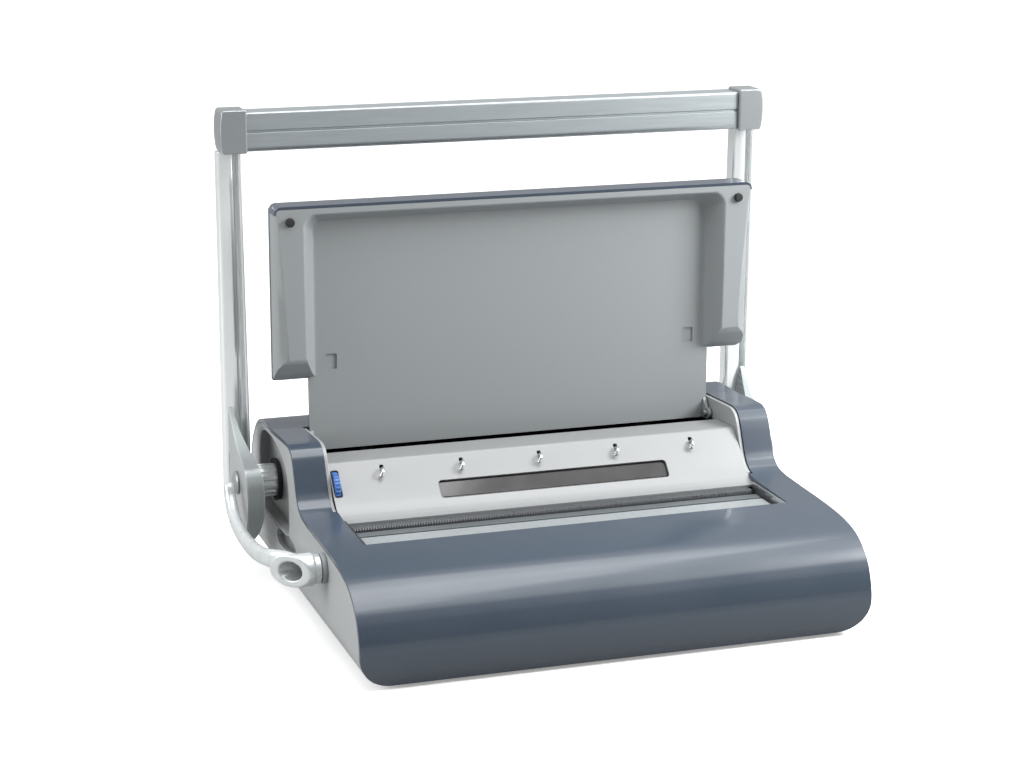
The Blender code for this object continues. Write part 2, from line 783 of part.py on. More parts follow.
def make_die_plate(material):
    high_y = throat_front_y - fit_gap
    plate = stepped_plate("die_plate", high_y - die_depth, high_y, die_top_z)
    cut(plate, pin_cutters(high_y - die_depth - wall, high_y + wall, pin_clearance))
    return finish(plate, material)


def make_stripper_plate(material):
    low_y = throat_rear_y
    plate = stepped_plate("stripper_plate", low_y, low_y + stripper_depth, stripper_top_z)
    cut(plate, pin_cutters(low_y - wall, low_y + stripper_depth + wall, pin_clearance))
    return finish(plate, material)


def make_sheet_rest(material):
    rest = box("sheet_rest", (-frame_plate_x + fit_gap, throat_front_y, die_bottom_z),
               (frame_plate_x - fit_gap, throat_rear_y - fit_gap, sheet_rest_z))
    return finish(rest, material)


def cam_outline(centre, base, rise, swing, contact_angle, steps=10):
    """Disc whose edge grows evenly with the turn, so that the bar it pushes moves evenly."""
    points = []
    for step in range(steps + 1):
        turn = swing * step / steps
        radius = base + rise * step / steps
        points.append((centre[0] + radius * cos(contact_angle - turn),
                       centre[1] + radius * sin(contact_angle - turn)))
    left_over = 2 * pi - swing
    for step in range(1, steps * 2):
        share = step / (steps * 2)
        radius = base + rise * (1 - share) ** 3
        turn = swing + left_over * share
        points.append((centre[0] + radius * cos(contact_angle - turn),
                       centre[1] + radius * sin(contact_angle - turn)))
    return points


def punch_bar_front():
    return throat_rear_y + stripper_depth + punch_travel + fit_gap


def make_punch_bar(material):
    front = punch_bar_front()
    rear = front + punch_bar_depth
    bar = box("punch_bar", (-punch_bar_half_length, front, pin_z - punch_bar_half_height),
              (punch_bar_half_length, rear, pin_z + punch_bar_half_height))
    tip = throat_rear_y + fit_gap
    fuse(bar, pin_cutters(tip, front + fit_gap, 0))
    for side in (-1, 1):
        middle = side * drive_cam_x
        fuse(bar, box("follower",
                      (middle - follower_width * 0.5, front + fit_gap, hub_axis_z - follower_width * 0.5),
                      (middle + follower_width * 0.5, rear, pin_z)))
    return finish(bar, material)


def make_drive_shaft(material):
    centre = (hub_axis_y, hub_axis_z)
    end = hub_outer_x - plate_thickness
    shaft = rod_x("drive_shaft", centre, drive_shaft_radius, -end, end, 28)
    return finish(shaft, material, (0, *centre), True)


def make_drive_cam(name, side, material):
    centre = (hub_axis_y, hub_axis_z)
    low = side * drive_cam_x - drive_cam_thickness * 0.5
    high = low + drive_cam_thickness
    outline = cam_outline(centre, drive_cam_base, punch_travel, drive_swing, pi)
    cam = prism(name, "x", outline, low, high)
    cut(cam, rod_x("bore", centre, drive_shaft_radius + fit_gap, low - wall, high + wall, 28))
    return finish(cam, material, (0, *centre))


def make_collar(name, side, material):
    centre = (hub_axis_y, hub_axis_z)
    points = []
    for flute in range(collar_flutes):
        for place, depth_share in collar_flute_shares:
            radius = collar_radius - collar_flute_depth * depth_share
            turn = 2 * pi * (flute + place) / collar_flutes
            points.append((centre[0] + radius * cos(turn), centre[1] + radius * sin(turn)))
    inner = body_half_width - well_depth + well_wall + fit_gap
    low, high = sorted((side * inner, side * (hub_inner_x - fit_gap)))
    collar = prism(name, "x", points, low, high)
    cut(collar, rod_x("bore", centre, drive_shaft_radius + fit_gap, low - wall, high + wall, 28))
    return finish(collar, material, (0, *centre))


def hub_outline():
    face = arm_front_y - fit_gap
    lean = acos((face - hub_axis_y) / hub_radius)
    points = arc_points((hub_axis_y, hub_axis_z), hub_radius, -lean, -pi * 1.25, 22)
    start = points[-1]
    end = (face, hub_axis_z + hub_radius * hub_flare_share)
    bend = (hub_axis_y + hub_radius * hub_bend_shares[0], hub_axis_z + hub_radius * hub_bend_shares[1])
    steps = 7
    for step in range(1, steps + 1):
        share = step / steps
        points.append(tuple(
            (1 - share) ** 2 * a + 2 * share * (1 - share) * b + share ** 2 * c
            for a, b, c in zip(start, bend, end)))
    return points


def make_hub(name, side, material):
    centre = (hub_axis_y, hub_axis_z)
    low, high = sorted((side * hub_inner_x, side * hub_outer_x))
    hub = prism(name, "x", hub_outline(), low, high)
    round_edges(hub, hub_bevel)
    cut(hub, rod_x("bore", centre, drive_shaft_radius + fit_gap, low - wall, high + wall, 28))
    return finish(hub, material, (0, *centre))


def make_hub_cap(name, side, material):
    centre = (hub_axis_y, hub_axis_z)
    low, high = sorted((side * (hub_outer_x + fit_gap), side * (arm_outer_x + fit_gap * 4)))
    return finish(rod_x(name, centre, drive_shaft_radius + wall, low, high, 28), material, (0, *centre))


def make_arm(name, side, material):
    width = arm_outer_x - arm_inner_x
    depth = arm_rear_y - arm_front_y
    outline = [(side * (arm_inner_x + width * a), arm_front_y + depth * b) for a, b in arm_section_shares]
    arm = prism(name, "z", outline, arm_bottom_z, arm_top_z)
    return finish(arm, material, (0, hub_axis_y, hub_axis_z))


def make_block(name, side, material):
    low, high = sorted((side * arm_inner_x, side * arm_outer_x))
    block = box(name, (low, block_front_y, block_bottom_z), (high, block_rear_y, block_top_z))
    round_edges(block, block_bevel, 2)
    return finish(block, material, (0, hub_axis_y, hub_axis_z))


def make_grip(material):
    depth = grip_rear_y - grip_front_y
    height = grip_top_z - grip_bottom_z
    outline = [(grip_front_y + depth * a, grip_bottom_z + height * b) for a, b in grip_section_shares]
    half = arm_inner_x - fit_gap
    return finish(prism("handle_grip", "x", outline, -half, half), material, (0, hub_axis_y, hub_axis_z))


def make_closing_shaft(material):
    centre = (lever_axis_y, lever_axis_z)
    left = -lever_ring_inner_x - fit_gap
    right = frame_plate_x + plate_thickness * 1.5
    shaft = rod_x("closing_shaft", centre, closing_shaft_radius, left, right, 20)
    return finish(shaft, material, (0, *centre), True)


def make_closing_cam(name, side, material):
    centre = (lever_axis_y, lever_axis_z)
    low = side * closing_cam_x - closing_cam_thickness * 0.5
    high = low + closing_cam_thickness
    outline = cam_outline(centre, closing_cam_base, closer_travel, closing_swing, 0)
    cam = prism(name, "x", outline, low, high)
    cut(cam, rod_x("bore", centre, closing_shaft_radius + fit_gap, low - wall, high + wall, 20))
    return finish(cam, material, (0, *centre))


def make_lever_bush(material):
    centre = (lever_axis_y, lever_axis_z)
    high = -body_half_width - fit_gap
    bush = rod_x("lever_bush", centre, lever_bush_radius, high - lever_bush_height, high, 28)
    cut(bush, rod_x("bore", centre, closing_shaft_radius + fit_gap,
                    high - lever_bush_height * 2, high + wall, 20))
    return finish(bush, material)


def lever_path():
    flat = shares_to_points(lever_path_shares, lever_reach, lever_tip_rise)
    inside = (lever_ring_inner_x + lever_ring_outer_x) * 0.5
    outside = lever_outer_x - lever_arm_thickness * 0.5
    return [(-(inside + (outside - inside) * share), lever_axis_y + point[0], lever_axis_z + point[1])
            for share, point in zip(lever_side_shares, flat)]


def make_lever_ring(centre):
    """Tube along the lever's axis, cut off slantwise so that its mouth looks forwards and out."""
    reach = lever_ring_radius * 2
    far_x = -lever_ring_outer_x - reach
    ring = rod_x("ring", centre, lever_ring_radius, far_x, -lever_ring_inner_x, 32)
    slant = [(far_x, lever_axis_y + reach), (far_x, lever_axis_y - reach),
             (-lever_ring_outer_x + reach, lever_axis_y - reach)]
    cut(ring, prism("slant", "z", slant, lever_axis_z - reach, lever_axis_z + reach))
    behind = box("behind", (-lever_ring_outer_x - reach * 2, lever_axis_y - reach, lever_axis_z - reach),
                 (-lever_outer_x + lever_arm_thickness * 0.5, lever_axis_y + reach, lever_axis_z + reach))
    return cut(ring, behind)


def make_closing_lever(material):
    centre = (lever_axis_y, lever_axis_z)
    path = lever_path()
    last = len(path) - 1
    travels = []
    for index in range(len(path)):
        before, after = path[max(index - 1, 0)], path[min(index + 1, last)]
        travels.append((after[1] - before[1], after[2] - before[2]))
    sizes = [(lever_arm_thickness * 0.5 * (1 if index < last else 0.7), lever_width * 0.5 * share)
             for index, share in enumerate(lever_width_shares)]
    arm = sweep("closing_lever", path, sizes, travels, 12)
    barrel_end = -body_half_width - lever_bush_height - fit_gap * 2
    barrel = rod_x("barrel", centre, lever_barrel_radius, -lever_ring_inner_x - wall, barrel_end, 24)
    fuse(arm, barrel, make_lever_ring(centre))
    cut(arm, rod_x("ring_bore", centre, lever_ring_bore, -lever_ring_outer_x - lever_ring_radius * 2,
                   -lever_ring_inner_x - wall * 1.5, 28))
    cut(arm, rod_x("shaft_bore", centre, closing_shaft_radius + fit_gap, -lever_ring_inner_x - fit_gap * 2,
                   barrel_end + wall, 20))
    return finish(arm, material, (0, *centre))


def make_closer_bed(material):
    bed = box("closer_bed", (-frame_plate_x + fit_gap, closer_bed_front_y, closer_bed_z),
              (frame_plate_x - fit_gap, channel_rear_y + wall, closer_bed_z + closer_bed_thickness))
    return finish(bed, material)


def tooth_slots(low_y, high_y, low_z, high_z):
    count = int(closer_bar_half_length / closer_tooth_pitch)
    slots = []
    for index in range(-count, count + 1):
        middle = index * closer_tooth_pitch
        slots.append(box("slot", (middle - closer_tooth_width * 0.5, low_y, low_z),
                         (middle + closer_tooth_width * 0.5, high_y, high_z)))
    return gather("slots", slots)


def make_closer_fixed_bar(material):
    low_z = closer_bed_z + closer_bed_thickness + fit_gap
    top_z = closer_fixed_top_z
    rear = closer_fixed_y + closer_fixed_depth
    outline = [(closer_fixed_y, low_z), (rear, low_z), (rear, top_z),
               (closer_fixed_y + closer_tooth_depth, top_z), (closer_fixed_y, top_z - closer_tooth_depth)]
    bar = prism("closer_fixed_bar", "x", outline, -closer_bar_half_length, closer_bar_half_length)
    cut(bar, tooth_slots(closer_fixed_y - wall, closer_fixed_y + closer_tooth_depth,
                         low_z + wall * 2, top_z + wall))
    return finish(bar, material)


def make_closer_moving_bar(material):
    """Flat front plate, a groove, and a nose that squeezes the loops, with a lug in front of each cam."""
    low_z = closer_bed_z + closer_bed_thickness + fit_gap
    top_z = closer_bar_top_z
    under_z = top_z - closer_plate_thickness
    floor_z = top_z - closer_groove_depth
    web_z = floor_z - closer_plate_thickness
    nose_y = closer_plate_rear_y + closer_groove_width
    rear = closer_nose_rear_y
    flange_y = rear - closer_nose_thickness
    chamfer = closer_plate_thickness * 0.4
    outline = [
        (closer_plate_front_y, under_z), (closer_plate_front_y, top_z), (closer_plate_rear_y, top_z),
        (closer_plate_rear_y, floor_z), (nose_y, floor_z), (nose_y, top_z), (rear - chamfer, top_z),
        (rear, top_z - chamfer), (rear, low_z), (flange_y, low_z), (flange_y, web_z),
        (closer_plate_rear_y - closer_plate_thickness, web_z),
        (closer_plate_rear_y - closer_plate_thickness, under_z),
    ]
    bar = prism("closer_moving_bar", "x", outline, -closer_bar_half_length, closer_bar_half_length)
    face = lever_axis_y + closing_cam_base + fit_gap * 5
    for side in (-1, 1):
        middle = side * closing_cam_x
        fuse(bar, box("follower", (middle - follower_width * 0.5, face, low_z + fit_gap * 4),
                      (middle + follower_width * 0.5, face + closer_lug_depth, under_z + fit_gap)))
    return finish(bar, material)


def make_closer_end(name, side, material):
    outer = channel_half_width - fit_gap
    low, high = sorted((side * outer, side * (outer - closer_end_thickness)))
    plate = box(name, (low, channel_front_y + fit_gap * 2, closer_bar_top_z - wall * 1.5),
                (high, panel_foot()[0][0] - fit_gap * 2, deck_height - wall * 0.5))
    return finish(plate, material)


def lid_pivot():
    return (0, lid_hinge_y, lid_hinge_z)


def make_lid_shell(material):
    """Back plate with its tongue, side walls and top wall, cut from one solid."""
    rear, skin = lid_rear_y, lid_skin
    outline = [
        (-lid_tongue_half_width, lid_tongue_bottom_z), (lid_tongue_half_width, lid_tongue_bottom_z),
        (lid_tongue_half_width, lid_step_z), (lid_half_width, lid_step_z), (lid_half_width, lid_top_z),
        (-lid_half_width, lid_top_z), (-lid_half_width, lid_step_z), (-lid_tongue_half_width, lid_step_z),
    ]
    plate = prism("lid_shell", "y", outline, lid_front_y, rear)
    slope = lid_chamfer_rise / (rear - lid_front_y)
    wedge = [(lid_front_y - wall, lid_step_z - wall), (rear - skin, lid_step_z - wall),
             (rear - skin, lid_step_z + slope * skin),
             (lid_front_y - wall, lid_step_z + lid_chamfer_rise + slope * wall)]
    cut(plate,
        box("inside", (-lid_half_width + skin, lid_front_y - wall, lid_tongue_bottom_z - wall),
            (lid_half_width - skin, rear - skin, lid_top_z - skin)),
        prism("wedge", "x", wedge, -lid_half_width - wall, lid_half_width + wall))
    return finish(plate, material, lid_pivot())


def make_lid_tray(material):
    rear = lid_rear_y - lid_skin - fit_gap
    outer = lid_half_width - lid_skin - fit_gap
    ramp = (wing_inner_x - wing_bevel_x) * 0.5
    ramp_y = lid_front_y + (lid_floor_y - lid_front_y) * wing_ramp_share
    outline = [
        (-outer, rear), (-outer, lid_front_y), (-wing_inner_x, lid_front_y),
        (-wing_bevel_x, ramp_y), (-wing_bevel_x + ramp, lid_floor_y), (wing_bevel_x - ramp, lid_floor_y),
        (wing_bevel_x, ramp_y), (wing_inner_x, lid_front_y), (outer, lid_front_y), (outer, rear),
    ]
    low = lid_step_z + fit_gap
    high = lid_top_z - lid_skin - fit_gap
    tray = prism("lid_tray", "z", outline, low, high)
    wedge = [(lid_front_y - wall, low - wall), (lid_floor_y, low - wall),
             (lid_floor_y, low + lid_chamfer_rise * wedge_rise_share), (lid_front_y, low + lid_chamfer_rise),
             (lid_front_y - wall, low + lid_chamfer_rise + wall)]
    cut(tray, prism("wedge", "x", wedge, -lid_half_width * 2, lid_half_width * 2))
    rim = box("rim", (-outer, lid_front_y, high - lid_tray_thickness), (outer, rear, high))
    tongue = box("tongue", (-lid_tongue_half_width, lid_floor_y, lid_tongue_bottom_z),
                 (lid_tongue_half_width, rear, low + lid_skin))
    fuse(tray, rim, tongue)
    for side in (-1, 1):
        inner = lid_tongue_half_width - hinge_ear_width
        low_x, high_x = sorted((side * lid_tongue_half_width, side * inner))
        ear = rod_x("ear", (lid_hinge_y, lid_hinge_z), hinge_ear_radius, low_x, high_x, 24)
        web = box("web", (low_x, lid_hinge_y, lid_tongue_bottom_z),
                  (high_x, lid_floor_y + fit_gap, lid_hinge_z + hinge_ear_radius))
        fuse(tray, ear, web)
        cut(tray, rod_x("bore", (lid_hinge_y, lid_hinge_z), hinge_pin_radius + fit_gap,
                        low_x - wall, high_x + wall, 20))
    return finish(tray, material, lid_pivot())


def make_bumper(name, side, material):
    high = lid_front_y - fit_gap
    bumper = prism(name, "y", circle_points((side * bumper_x, bumper_z), bumper_radius, 20),
                   high - bumper_height, high)
    return finish(bumper, material, lid_pivot())


def make_hinge_pin(name, side, material):
    inner = lid_tongue_half_width - hinge_ear_width
    low, high = sorted((side * inner, side * (inner + hinge_pin_length)))
    pin = rod_x(name, (lid_hinge_y, lid_hinge_z), hinge_pin_radius, low, high, 20)
    return finish(pin, material, smooth=True)


def wheel_centre():
    return panel_point(wheel_share, -wheel_depth_below_panel)


def make_thumbwheel(material):
    centre = wheel_centre()
    points = []
    for ridge in range(wheel_ridges):
        for place, radius in ((0, wheel_radius), (flute_share, wheel_radius - wheel_ridge)):
            turn = 2 * pi * (ridge + place) / wheel_ridges
            points.append((centre[0] + radius * cos(turn), centre[1] + radius * sin(turn)))
    low, high = -wheel_x - wheel_width * 0.5, -wheel_x + wheel_width * 0.5
    wheel = prism("thumbwheel", "x", points, low, high)
    cut(wheel, rod_x("bore", centre, wheel_spindle_radius + fit_gap, low - wall, high + wall, 20))
    return finish(wheel, material, (0, *centre))


def make_wheel_spindle(material):
    start = -panel_half_width + fit_gap
    return finish(rod_x("wheel_spindle", wheel_centre(), wheel_spindle_radius, start,
                        start + wheel_spindle_length, 20), material, smooth=True)


def make_edge_guide(material):
    centre = wheel_centre()
    boss = wheel_spindle_radius + fit_gap * 4
    rear = throat_rear_y - fit_gap
    front = throat_front_y + fit_gap
    outline = arc_points(centre, boss, pi * 0.5, pi * 1.5, 8)
    outline += [(guide_step_y, centre[1] - boss), (guide_step_y + boss - fit_gap * 2, guide_bottom_z),
                (rear, guide_bottom_z), (rear, guide_top_z), (front, guide_top_z), (front, centre[1] + boss)]
    low, high = -guide_x - guide_width * 0.5, -guide_x + guide_width * 0.5
    guide = prism("edge_guide", "x", outline, low, high)
    cut(guide, rod_x("bore", centre, wheel_spindle_radius + fit_gap, low - wall, high + wall, 20))
    return finish(guide, material)


def make_chip_tray(material):
    right = body_half_width - fit_gap
    tray = box("chip_tray", (-tray_left_x, tray_front_y, tray_bottom_z), (right, tray_rear_y, tray_top_z))
    inside_right = frame_plate_x
    cut(tray, box("inside", (-tray_left_x + tray_wall, tray_front_y + tray_wall, tray_bottom_z + tray_wall),
                  (inside_right, tray_rear_y - tray_wall, tray_top_z + wall)))
    quarter = (tray_rear_y - tray_front_y) * 0.25
    cut(tray, box("pull", (right - tray_pull_depth, tray_front_y + quarter, tray_bottom_z - wall),
                  (right - tray_wall, tray_rear_y - quarter, tray_bottom_z + tray_wall * 4)))
    return finish(tray, material)


def place_on_frame():
    """Centre the whole machine on its outline and stand it on its feet."""
    shift = Vector(((lever_outer_x - arm_outer_x - fit_gap * 4) * 0.5, -body_depth * 0.5, foot_height))
    for item in bpy.data.objects:
        item.location = Vector(item.location) + shift


def build():
    clear_scene()
    blue = make_material("blue_painted_moulding", (0.155, 0.190, 0.235), 0.34, 0.0)
    deep_blue = make_material("deep_blue_moulding", (0.080, 0.108, 0.150), 0.38, 0.0)
    silver = make_material("silver_moulding", (0.430, 0.435, 0.445), 0.42, 0.25)
    panel_silver = make_material("satin_panel", (0.470, 0.470, 0.480), 0.36, 0.45)
    tray_grey = make_material("grey_moulding", (0.310, 0.330, 0.340), 0.52, 0.0)
    chrome = make_material("bright_handle_metal", (0.560, 0.580, 0.590), 0.18, 0.95)
    aluminium = make_material("satin_grip_metal", (0.420, 0.460, 0.475), 0.34, 0.85)
    steel = make_material("ground_steel", (0.340, 0.345, 0.350), 0.36, 0.95)
    zinc = make_material("zinc_plated_steel", (0.520, 0.520, 0.510), 0.30, 0.95)
    dark = make_material("dark_moulding", (0.030, 0.031, 0.034), 0.55, 0.0)
    rubber = make_material("black_rubber", (0.012, 0.012, 0.012), 0.80, 0.0)
    smoked = make_material("smoked_window", (0.050, 0.048, 0.050), 0.15, 0.0)
    wheel_blue = make_material("wheel_moulding", (0.060, 0.120, 0.280), 0.40, 0.0)

    make_base_pan(dark)
    for name, side, foot_y in (("foot_front_left", -1, foot_front_y), ("foot_front_right", 1, foot_front_y),
                               ("foot_rear_left", -1, foot_rear_y), ("foot_rear_right", 1, foot_rear_y)):
        make_foot(name, side, foot_y, rubber)
    make_top_cover(blue)
    make_rear_cover(deep_blue)
    mirror_names("side_panel", lambda name, side: make_side_panel(name, side, silver))
    mirror_names("hub_well", lambda name, side: make_well(name, side, dark))
    mirror_names("tower_cheek", lambda name, side: make_cheek(name, side, silver))
    mirror_names("frame_plate", lambda name, side: make_frame_plate(name, side, zinc))

    make_punch_panel(panel_silver)
    make_window_pane(smoked)
    for index in range(1, 6):
        make_wire_hook(index, zinc)
    make_die_plate(steel)
    make_stripper_plate(steel)
    make_sheet_rest(zinc)
    make_punch_bar(steel)
    make_drive_shaft(steel)
    mirror_names("drive_cam", lambda name, side: make_drive_cam(name, side, steel))
    mirror_names("shaft_collar", lambda name, side: make_collar(name, side, tray_grey))

    mirror_names("handle_hub", lambda name, side: make_hub(name, side, silver))
    mirror_names("hub_cap", lambda name, side: make_hub_cap(name, side, tray_grey))
    mirror_names("handle_arm", lambda name, side: make_arm(name, side, chrome))
    mirror_names("handle_block", lambda name, side: make_block(name, side, tray_grey))
    make_grip(aluminium)

    make_closer_bed(zinc)
    make_closer_fixed_bar(steel)
    make_closer_moving_bar(zinc)
    mirror_names("closer_end", lambda name, side: make_closer_end(name, side, panel_silver))
    make_closing_shaft(steel)
    mirror_names("closing_cam", lambda name, side: make_closing_cam(name, side, steel))
    make_lever_bush(tray_grey)
    make_closing_lever(chrome)

    make_lid_shell(deep_blue)
    make_lid_tray(tray_grey)
    mirror_names("lid_bumper", lambda name, side: make_bumper(name, side, rubber))
    mirror_names("lid_hinge_pin", lambda name, side: make_hinge_pin(name, side, steel))

    make_thumbwheel(wheel_blue)
    make_wheel_spindle(steel)
    make_edge_guide(dark)
    make_chip_tray(dark)
    place_on_frame()


build()
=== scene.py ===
"""Looks of a desktop wire binding machine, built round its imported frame."""
import json
import math

import bmesh
import bpy
from bpy.props import FloatProperty, FloatVectorProperty, IntProperty, PointerProperty
from mathutils import Matrix, Vector


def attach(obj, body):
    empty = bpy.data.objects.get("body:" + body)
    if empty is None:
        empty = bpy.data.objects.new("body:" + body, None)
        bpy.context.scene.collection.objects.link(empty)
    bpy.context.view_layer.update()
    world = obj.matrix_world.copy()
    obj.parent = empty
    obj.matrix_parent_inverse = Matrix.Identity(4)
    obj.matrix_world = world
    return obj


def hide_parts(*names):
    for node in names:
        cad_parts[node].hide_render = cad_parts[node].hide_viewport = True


bl_info = {
    "name": "Wire Binding Machine",
    "version": (1, 0, 0),
    "blender": (4, 5, 0),
    "location": "3D View > Sidebar > Binder",
    "description": "Builds the looks of a desktop wire binding machine on its packed frame",
    "category": "Object",
}

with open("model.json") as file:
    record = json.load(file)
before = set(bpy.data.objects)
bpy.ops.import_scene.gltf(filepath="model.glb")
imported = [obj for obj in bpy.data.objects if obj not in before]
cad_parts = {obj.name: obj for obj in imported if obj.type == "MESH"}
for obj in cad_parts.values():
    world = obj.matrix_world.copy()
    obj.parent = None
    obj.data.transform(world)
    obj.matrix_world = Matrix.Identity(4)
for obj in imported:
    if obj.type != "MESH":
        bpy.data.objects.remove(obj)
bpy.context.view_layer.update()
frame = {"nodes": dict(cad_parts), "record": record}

# The shapes below are in millimetres from the middle of the case's front lower edge.
# ORIGIN is where that edge lies in the frame, in metres.
ORIGIN = Vector((0.0054, -0.1725, 0.003))
MILLIMETRE = 0.001

CASE_HALF = 199.4
WALL = 3.0
GAP = 0.3
TOWER_INNER = 174.5
CORNER_RADIUS = 25.0
COVER_PATH = [
    (6, 0), (3.4, 6), (1.5, 13), (0.4, 20), (0, 27), (0.9, 34), (3, 41), (6, 48), (10.5, 55),
    (16.5, 61), (24, 66.3), (33, 70.3), (44, 73.2), (57, 75.2), (75, 76.6), (100, 77.6),
    (130, 78.3), (155, 79.1), (167, 80.4), (174, 82.8), (179, 86.6), (182.5, 91.7),
    (187, 101.5), (191.5, 111.5), (195.3, 118.3), (200.3, 123.1), (207, 125.3), (214, 125.5),
    (262, 123),
]
REAR_PATH = [
    (262.6, 122.9), (296, 122.6), (306, 120.5), (315, 116.5), (323, 110.5), (331, 101.5),
    (337.5, 90.5), (341.5, 77), (343.8, 55), (345, 30), (344.6, 14), (342, 5), (336, 0),
]
WELL_OUTLINE = [
    (207, 60), (210, 52), (216, 48.6), (226, 47.5), (296, 47.5), (304, 50), (308, 57), (308, 98),
    (305, 108), (298, 114.5), (288, 117.6), (268, 118.2), (250, 116.8), (234, 113.2),
    (221, 107.2), (212, 98.5), (207.5, 86),
]
SCOOP_OUTLINE = [
    (189, 44.5), (196, 41.5), (208, 38), (224, 35.2), (240, 34.2), (249, 35.6), (252.5, 39.5), (249, 44.2),
    (238, 47.8), (222, 49.8), (206, 49.8), (193, 48),
]
# Where the handle's shaft and the side lever's shaft lie, as y and z.
HUB = (275.0, 78.0)
LEVER = (98.0, 61.0)
# For the materials, in millimetres of the frame: the lever's axis, where the painted shade inside the ring's
# mouth ends and where the closer's plate turns down and its painted shade begins, how far the hubs' middles
# are from the machine's, and where from there the painted shade on their rim ends.
LEVER_PLACE = (0.0, -74.5, 64.0)
MOUTH_SHADE_EDGE = {"From Min": 6.7, "From Max": 7.4}
NOSE_SHADE_EDGE = {"From Min": -44.5, "From Max": -43.5}
HUB_MIDDLE = 218.5
RIM_SHADE_EDGE = {"From Min": 5.6, "From Max": 6.2}
# Where nearly all of a grain's values lie.
GRAIN_SPAN = {"From Min": 0.3, "From Max": 0.7}
# The thumbwheel's axis, then the hooks' place on the sloping panel as a share of its height, and
# their pitch.
WHEEL = (190.457, 92.543)
HOOK_SHARE = 0.76
HOOK_PITCH = 64.8
# The sloping panel, as y and z, and where its window and its wheel's slot lie up it.
PANEL_FOOT = (162.8, 72.5)
PANEL_BEND = (199.0, 110.5)
PANEL_RUN = Vector((PANEL_BEND[0] - PANEL_FOOT[0], PANEL_BEND[1] - PANEL_FOOT[1]))
PANEL_HALF = 170.9
WINDOW_SHARE = 0.397
WHEEL_SHARE = 0.64
# The lid's axis and the half width of the tongue that it turns by.
HINGE = (247.0, 110.0)
TONGUE_HALF = 170.0
# Ends of a tool that goes right through the case, from front to back.
THROUGH = (-50.0, 500.0)


# Paths

def smooth_path(points, step=1.6):
    """Points of a smooth line through the given ones, about step apart."""
    result = []
    last = len(points) - 1
    for index in range(last):
        first, second = Vector(points[index]), Vector(points[index + 1])
        before = Vector(points[index - 1]) if index else first * 2 - second
        after = Vector(points[index + 2]) if index + 2 <= last else second * 2 - first
        length = (second - first).length
        leave = (second - before) * (length / ((first - before).length + length))
        arrive = (after - first) * (length / ((after - second).length + length))
        pieces = max(1, round(length / step))
        for piece in range(pieces):
            t = piece / pieces
            a = 2 * t ** 3 - 3 * t ** 2 + 1
            b = t ** 3 - 2 * t ** 2 + t
            c = -2 * t ** 3 + 3 * t ** 2
            d = t ** 3 - t ** 2
            result.append(tuple(first * a + leave * b + second * c + arrive * d))
    result.append(tuple(points[-1]))
    return result


def shifted_path(points, distance):
    """Path moved to the right of its direction."""
    moved = []
    last = len(points) - 1
    for index, point in enumerate(points):
        here = Vector(point)
        into = (here - Vector(points[index - 1])).normalized() if index else None
        out = (Vector(points[index + 1]) - here).normalized() if index < last else into
        into = into or out
        normal_in, normal_out = Vector((into.y, -into.x)), Vector((out.y, -out.x))
        mitre = (normal_in + normal_out).normalized()
        moved.append(tuple(here + mitre * (distance / mitre.dot(normal_in))))
    return moved


def shifted_loop(points, distance):
    return shifted_path([points[-1]] + list(points) + [points[0]], distance)[1:-1]


def rounded(points, radius, steps=6):
    """Closed outline with its corners rounded. A third number in a point is that corner's own radius."""
    result = []
    count = len(points)
    for index, point in enumerate(points):
        here = Vector(point[:2])
        to_before = Vector(points[index - 1][:2]) - here
        to_after = Vector(points[(index + 1) % count][:2]) - here
        back, ahead = to_before.normalized(), to_after.normalized()
        size = point[2] if len(point) > 2 else radius
        half = math.acos(max(-1.0, min(1.0, back.dot(ahead)))) / 2
        if size <= 0 or half > math.radians(88):
            result.append(tuple(here))
            continue
        reach = min(size / math.tan(half), to_before.length * 0.49, to_after.length * 0.49)
        start, end = here + back * reach, here + ahead * reach
        centre = here + (back + ahead).normalized() * (reach / math.cos(half))
        turn_from = math.atan2(start.y - centre.y, start.x - centre.x)
        turn_to = math.atan2(end.y - centre.y, end.x - centre.x)
        sweep = (turn_to - turn_from + math.pi) % (2 * math.pi) - math.pi
        size_now = (start - centre).length
        for step in range(steps + 1):
            turn = turn_from + sweep * step / steps
            result.append(polar(centre, size_now, turn))
    return result


def polar(centre, radius, turn):
    return centre[0] + radius * math.cos(turn), centre[1] + radius * math.sin(turn)


def symmetric(half):
    """Closed outline, the same left and right, from its right half drawn upwards."""
    left = [(-point[0], *point[1:]) for point in half]
    return left[:1] + half + left[:0:-1]


def circle(centre, radius, sides=64):
    return [polar(centre, radius, 2 * math.pi * side / sides) for side in range(sides)]


def arc(centre, radius, start, end, steps):
    return [polar(centre, radius, start + (end - start) * step / steps) for step in range(steps + 1)]


# Solids

# How a point of an outline and a place along the axis make a point of the solid.
AXES = {
    "x": lambda a, b, c: (c, a, b),
    "y": lambda a, b, c: (a, c, b),
    "z": lambda a, b, c: (a, b, c),
}


def ball(name, centre, radius):
    shape = bmesh.new()
    bmesh.ops.create_uvsphere(shape, u_segments=32, v_segments=20, radius=radius,
                              matrix=Matrix.Translation(centre))
    return from_bmesh(name, shape)


def new_object(name, data):
    made = bpy.data.objects.new(name, data)
    bpy.context.scene.collection.objects.link(made)
    return made


def from_bmesh(name, shape):
    bmesh.ops.recalc_face_normals(shape, faces=shape.faces)
    mesh = bpy.data.meshes.new(name)
    shape.to_mesh(mesh)
    shape.free()
    return new_object(name, mesh)


def extrusion(name, axis, outline, start, end):
    """Closed outline drawn along one axis."""
    put = AXES[axis]
    return lofted(name, [[put(a, b, along) for a, b in outline] for along in (start, end)])


def rectangle(low_a, low_b, high_a, high_b):
    return [(low_a, low_b), (high_a, low_b), (high_a, high_b), (low_a, high_b)]


